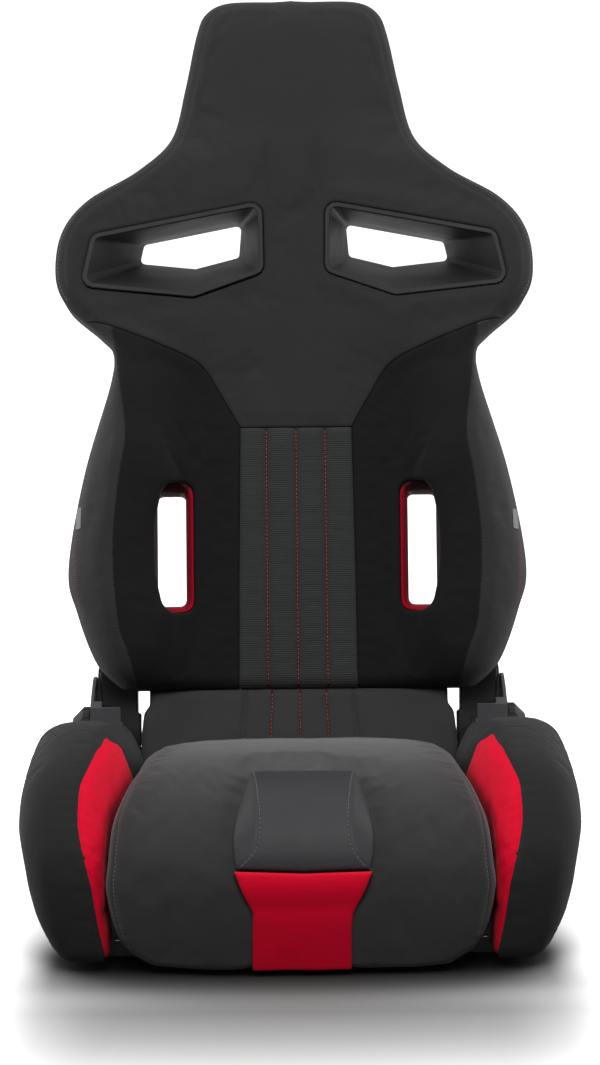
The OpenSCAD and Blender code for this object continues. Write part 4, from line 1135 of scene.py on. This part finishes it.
# Raised block: outline and the seams of its side facets, as (x, s)
block_r, block_l, facet_r, facet_l = (even(catmull(p, 8), 2.2) for p in (
    [(57, 325), (66, 370), (72.5, 412), (72.5, 436), (69.5, 457)],
    [(-50, 322), (-59, 369), (-66, 412), (-66.5, 436), (-64.5, 456)],
    [(57, 326), (51.5, 380), (49, 420), (54, 441), (69, 457)],
    [(-50, 323), (-44.5, 376), (-41.5, 418), (-46, 439), (-64, 456)]))
block_loop = anticlockwise(chain(even([(-50, 322), (57, 325)], 2.2), block_r,
                                 even([(69.5, 457), (2, 459), (-64.5, 456)], 2.2),
                                 block_l[::-1]))
red_r = even([(70.5, 459.5), (60, 484), (51.5, 503), (50, 520), (50, CREST_LEN - 4)], 2.4)
red_l = even([(-65.5, 458.5), (-56, 482), (-47.5, 502), (-48.5, 520), (-49, CREST_LEN - 4)],
             2.4)
red_loop = anticlockwise(chain(even([(-65.5, 458.5), (2, 461), (70.5, 459.5)], 2.4), red_r,
                               even([red_r[-1], red_l[-1]], 2.4), red_l[::-1]))


def crown(x, s):
    """How much lower than its crest the cushion is, away from the middle."""
    return 9.0 * (np.abs(x) / cushion_half(s)) ** 3.2


def cushion_height(p):
    sides = [(cushion_side, 17.0, 17.0), (cushion_side * FLIP, 17.0, 17.0),
             ([(-163, 0), (163, 0)], 14.0, 14.0),
             ([(-156, CREST_LEN), (156, CREST_LEN)], 12.0, 10.0)]
    h = -crown(*p.T) - edge_drop(p, sides)
    for seam in cushion_seams:
        h = h - channel(p, [seam], 1.4, 2.0) + puckers(p, seam, 10, 0.35, 13)
    # the cover is drawn down round the block and the facing
    d = np.min([np.where(inside(p, loop), 0, line_distance(p, loop, True)[0])
                for loop in (block_loop, red_loop)], axis=0)
    h = h - 3.6 * np.exp(-(d / 9.0) ** 1.5)
    h = h + puckers(p, np.vstack([block_l, red_l]), 16, 0.7, 26)
    h = h + puckers(p, np.vstack([block_r, red_r]), 16, 0.7, 29)
    h = h + 0.9 * wavy(p, 75, 1.0) + 0.3 * wavy(p, 24, 4.0)
    drape = smooth_step(p[:, 1], 430, 520)
    return h + drape * 0.9 * np.sin(p[:, 0] / 17.0 + 0.8 * np.sin(p[:, 1] / 30.0))


def block_height(p):
    x, s = p.T
    share = (s - 322) / 136.0
    along = 2 + 15.5 * np.sin(math.pi * np.clip(share, 0, 1) ** 0.82) ** 0.8
    along = along * (1 - smooth_step(share, 0.9, 1.0) * 0.25)
    h = along - crown(x, s)
    for facet, block in ((facet_r, block_r), (facet_l, block_l)):
        x_seam = np.interp(s, facet[:, 1], facet[:, 0])
        x_edge = np.interp(s, block[:, 1], block[:, 0])
        wide = x_edge - x_seam
        out = np.clip((x - x_seam) / np.where(np.abs(wide) < 1, np.sign(x_edge), wide), 0, 1)
        h = h - (along - 1.5) * out ** 1.15
        h = h - channel(p, [facet], 1.2, 1.7) + puckers(p, facet, 5, 0.25, 8)
    return h - edge_drop(p, [(ring(block_loop), 3.6, 3.0)]) + 0.35 * wavy(p, 30, 6.0)


def red_height(p):
    x, s = p.T
    h = 1.6 + 8.5 * (1 - smooth_step(s, 459, 500)) - crown(x, s)
    h = h - edge_drop(p, [(ring(red_loop), 3.4, 2.6)]) + 0.35 * wavy(p, 34, 8.0)
    return h + 0.5 * np.sin(x / 9.0) * smooth_step(s, 530, 575)


def build_cushion():
    seat = panel("seat_cushion_cover", cushion_loop, [], cushion_seams, cushion_height,
                 on_cushion, -100, ["grey_fabric"], step=4.2, walls=8)
    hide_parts("seat_cushion")
    around = [ring(q) for q in (cushion_loop, block_loop, red_loop)]
    held = held_by(seat, cushion_seams + around, 2.5)
    flat = FLAT[seat.name]
    held[:len(flat)][inside(flat, block_loop) | inside(flat, red_loop)] = 1
    press(seat, held)
    block = panel("pommel_block", block_loop, [], [facet_r, facet_l], block_height, on_cushion,
                  -2.4, ["black_hide"], step=3.4, rings=(0.5, 1.4, 2.8), walls=2)
    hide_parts("pommel_pad")
    red = panel("pommel_facing", red_loop, [], [], red_height, on_cushion, -2.4, ["red_fabric"],
                step=3.6, rings=(0.5, 1.4, 2.8), walls=2)
    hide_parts("pommel_apron")
    sew("cushion_stitching", [seam[12:] for seam in cushion_seams], cushion_height,
        on_cushion, "dark_thread", "base", 5.0, 3.6, 0.36, lift=0.15)
    sew("pommel_stitching", [facet_r - (1.9, 0), facet_l + (1.9, 0)], block_height, on_cushion,
        "dark_thread", "base", 4.4, 3.2, 0.36, lift=0.15)
    for piece, how_full, slot in ((seat, 0.7, "grey_fabric"), (block, 0.9, "black_hide"),
                                  (red, 0.9, "red_fabric")):
        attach(piece, "base")


# Lower back pad: wraps round under the back, over the shaft; its line as (w, v)
PAD_R = 45.2
LOW_SKIRT = -14                    # below this height points lead inwards
LOW_LINE = np.array([(PAD_R, v) for v in np.linspace(63.6, 4, 12)]
                    + [(PAD_R * math.cos(a), PAD_R * math.sin(a))
                       for a in np.linspace(0, -2.6, 40)])
LOW_S = lengths(LOW_LINE)
LOW_N = normals(LOW_LINE)


def on_low_pad(x, s, h):
    s = np.clip(s, 0, LOW_S[-1])
    w, v = raised(s, np.maximum(h, LOW_SKIRT), LOW_LINE, LOW_S, LOW_N)
    t = np.clip((LOW_SKIRT - h) / 10, 0, 1)
    w = w + t * (np.where(s < 60, -24.0, -8.0) - w)
    v = v + t * (np.interp(s, [0, 60, LOW_S[-1]], [60, 30, 20]) - v)
    return on_back(x * (0.945 + 0.055 * smooth_step(s, 12, 52)), v, w)


low_seams = [even([(x, 2), (x, LOW_S[-1] - 2)], 2.4) for x in (-63.5, 65)]
low_stitches = [even([(x, 2), (x, 100)], 2.4) for x in (-31.5, 1.4, 33)]
low_loop = anticlockwise(even(corners(-177, 177, 0, LOW_S[-1]), 3.6, True))


def low_height(p):
    h = -edge_drop(p, [(ring(low_loop), 9.0, 9.0)])
    h = h - channel(p, low_seams, 3.0, 2.4) - channel(p, low_stitches, 1.9, 2.8)
    for line in low_seams:
        h = h + puckers(p, line, 8, 0.3)
    return h + 0.5 * wavy(p, 50, 2.5) - 0.6


def build_low_pad():
    pad = panel("lower_back_pad_cover", low_loop, [], low_seams + low_stitches, low_height,
                on_low_pad, -24, ["low_fabric", "red_seam"], walls=4,
                paint=lambda p: near_lines(p, low_stitches))
    sew("lower_pad_stitching", low_stitches, low_height, on_low_pad, "red_thread", "backrest",
        4.6, 3.7, 0.4, lift=0.25)
    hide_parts("lower_back_pad")
    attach(pad, "backrest")


build_cushion()
build_low_pad()

# ---------- base bolsters ----------

# Left bolster from the side (y, z), from the front (x, z) and from above (x, y)
SIDE_LINE = catmull([(98, 138), (38, 179), (-62, 208), (-138, 216), (-214, 200), (-264, 150),
                     (-278, 102), (-254, 11)], 8)
BOLSTER_SIDE = np.vstack([[(108, 15), (108, 121)], SIDE_LINE, [(-244, 3), (98, 3)]])
BOLSTER_FRONT = np.vstack([[(150, 3), (234, 3)],
                           catmull([(243, 9), (266, 56), (286, 119), (288, 146), (275, 188),
                                    (250, 220), (228, 238)], 6), [(150, 250)]])
BOLSTER_PLAN = np.array([(150, 109), (150, -300), (246, -300), (266, -284), (281, -246),
                         (292, -200), (300, -160), (300, 40), (286, 86), (262, 109)])
# Ridge between the outer cover and the red flank, as (x, y, z), rear to foot
RIDGE = np.array([(182, 98, 138), (184, 20, 186), (190, -80, 210), (196, -133, 216),
                  (211, -203, 204), (220, -234, 186), (221, -254, 164), (216.5, -270, 140),
                  (211, -277, 115), (207, -278, 99), (198, -265, 48), (190, -256, 16)])
NUDGE = 0.001                      # moves each knot a little on, so that no two fall together
ridge_at = line_distance(RIDGE[:, 1:], SIDE_LINE)[1] + NUDGE * np.arange(len(RIDGE))
flank_top = smooth_fn(np.stack([ridge_at, RIDGE[:, 0]], axis=1))
flank_s = (0, 130, 245, 320, 385, 440, 500, 560)
flank_foot = smooth_fn(list(zip(flank_s, (168, 170, 179, 190, 196, 197.5, 197, 192))))
flank_reach = smooth_fn(list(zip(flank_s, (40, 50, 52, 40, 26, 18, 12, 8))))


def signed(points, loop):
    """Distance outside a closed loop, below 0 inside it."""
    d = line_distance(points, loop, True)[0]
    return np.where(inside(points, loop), -d, d)


def soft_max(a, b, k):
    t = np.maximum(k - np.abs(a - b), 0) / k
    return np.maximum(a, b) + t * t * k / 4


def bolster_parts(p):
    """The outer form and the inner flank of a left bolster, as distances outside them."""
    side = signed(p[:, 1:], BOLSTER_SIDE)
    front = signed(p[:, [0, 2]], BOLSTER_FRONT)
    plan = signed(p[:, :2], BOLSTER_PLAN)
    outer = soft_max(soft_max(side, front, 30), plan, 34)
    s = line_distance(p[:, 1:], SIDE_LINE)[1]
    t = np.clip(-side / flank_reach(s), 0, 1.0)
    flank = flank_top(s) + (flank_foot(s) - flank_top(s)) * t ** 0.8
    return outer, (flank - p[:, 0]) * 0.85


def bolster_field(p):
    outer, inner = bolster_parts(p)
    x, y, z = p.T
    hollow = np.maximum(np.maximum(x - 228.2, -194 - y), z - 65.4)
    return soft_max(soft_max(outer, inner, 7), -hollow, 3)


def settle(p, field, rounds=4, most=6.0, probe=0.6):
    """Moves points onto the surface where field is 0, by at most so many mm a round."""
    for _ in range(rounds):
        f = field(p)
        grad = np.stack([(field(p + e) - field(p - e)) / (2 * probe)
                         for e in probe * np.eye(3)], axis=1)
        size = np.maximum((grad ** 2).sum(axis=1), 0.15)
        p = p - np.clip(f / size, -most, most)[:, None] * grad
    return p


VOXEL = 0.0042
SNAP = 0.12                        # share of an edge within which a cut takes its end instead


def blank(names):
    """One closed, evenly meshed copy of some CAD solids."""
    bm = bmesh.new()
    for n in names:
        bm.from_mesh(nodes[n].data)
    mesh = bpy.data.meshes.new("blank")
    bm.to_mesh(mesh)
    bm.free()
    obj = add_object("blank", mesh)
    remesh = obj.modifiers.new("remesh", "REMESH")
    remesh.mode = "VOXEL"
    remesh.voxel_size = VOXEL
    made = bpy.data.meshes.new_from_object(
        obj.evaluated_get(bpy.context.evaluated_depsgraph_get()))
    bpy.data.objects.remove(obj)
    return made


def cut_along(bm, values):
    """Splits faces where the vertex values change sign, and returns the new vertices."""
    layer = bm.verts.layers.float.new("side")
    for v, g in zip(bm.verts, values):
        v[layer] = g
    made = set()
    for e in list(bm.edges):
        a, b = e.verts
        if (a[layer] > 0) == (b[layer] > 0):
            continue
        t = a[layer] / (a[layer] - b[layer])
        if t < SNAP:
            a.co, v = a.co.lerp(b.co, t), a
        elif t > 1 - SNAP:
            b.co, v = b.co.lerp(a.co, 1 - t), b
        else:
            v = bmesh.utils.edge_split(e, a, t)[1]
        v[layer] = 0.0
        made.add(v)
    bmesh.ops.connect_verts(bm, verts=list(made), check_degenerate=False)
    return made, layer


def build_bolsters():
    made = blank(["base_bolster_left", "bolster_facing_left"])
    p = settle(coordinates(made) / MM, bolster_field)
    outer, inner = bolster_parts(p)
    # the red cover ends behind the cushion's widest part, on a slanting seam
    behind = (-p[:, 1] - 104 - 0.5 * (p[:, 2] - 200)) * 0.8
    made.vertices.foreach_set("co", (p * MM).ravel())
    bm = bmesh.new()
    bm.from_mesh(made)
    bm.verts.ensure_lookup_table()
    seam, layer = cut_along(bm, np.minimum(inner - outer, behind))
    border = np.array([tuple(v.co) for v in seam]) / MM
    for f in bm.faces:
        f.material_index = int(sum(v[layer] for v in f.verts) > 0)
        f.smooth = True
    bm.normal_update()
    at = np.array([tuple(v.co) for v in bm.verts]) / MM
    normal = np.array([tuple(v.normal) for v in bm.verts])
    d = np.full(len(at), FAR)
    for k in range(0, len(border), 200):
        part = np.linalg.norm(at[:, None] - border[None, k:k + 200], axis=2).min(axis=1)
        d = np.minimum(d, part)
    drop = 2.4 * np.exp(-(d / 2.8) ** 2)
    ripple = 0.7 * wavy(at, 60, 2.0) + 0.3 * wavy(at, 20, 5.0)
    ripple = ripple + 0.35 * np.exp(-d / 12) * np.sin(at[:, 1] / 2.2 + at[:, 2] / 3.1)
    at = at + (ripple - drop)[:, None] * normal
    for v, q in zip(bm.verts, at):
        v.co = Vector(q * MM)
    x, y, z = at.T
    under = (1 - smooth_step(x, 229, 236)) * (z < 70) * (y > -200)
    held = np.max([1 - smooth_step(z, 8, 26), smooth_step(y, 84, 100), under,
                   1 - smooth_step(d, 2.5, 9)], axis=0)
    change = None
    for sign, tail in SIDES:
        if sign < 0:
            for v in bm.verts:
                v.co.x = -v.co.x
            bmesh.ops.reverse_faces(bm, faces=bm.faces)
        mesh = bpy.data.meshes.new("base_bolster_cover_" + tail)
        bm.to_mesh(mesh)
        for name in ("bolster_fabric", "red_fabric"):
            mesh.materials.append(MATERIALS[name])
        obj = add_object(mesh.name, mesh)
        change = press(obj, held, 2.0, None if change is None else change * (-1, 1, 1))
        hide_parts("base_bolster_" + tail, "bolster_facing_" + tail)
        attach(obj, "base")
    bm.free()


build_bolsters()

# The hard parts keep their CAD shape; edges are eased and finishes given
finish_of = {s["node"]: s["material_slot"] for s in frame["record"]["subparts"]}
for name, node in nodes.items():
    node.data.materials.clear()
    node.data.materials.append(MATERIALS[finish_of[name]])
    node.data.polygons.foreach_set("use_smooth", [True] * len(node.data.polygons))
    ease = node.modifiers.new("eased edges", "BEVEL")
    ease.width = 0.0006
    ease.segments = 2
    ease.limit_method = "ANGLE"
    ease.angle_limit = math.radians(38)
    ease.harden_normals = True
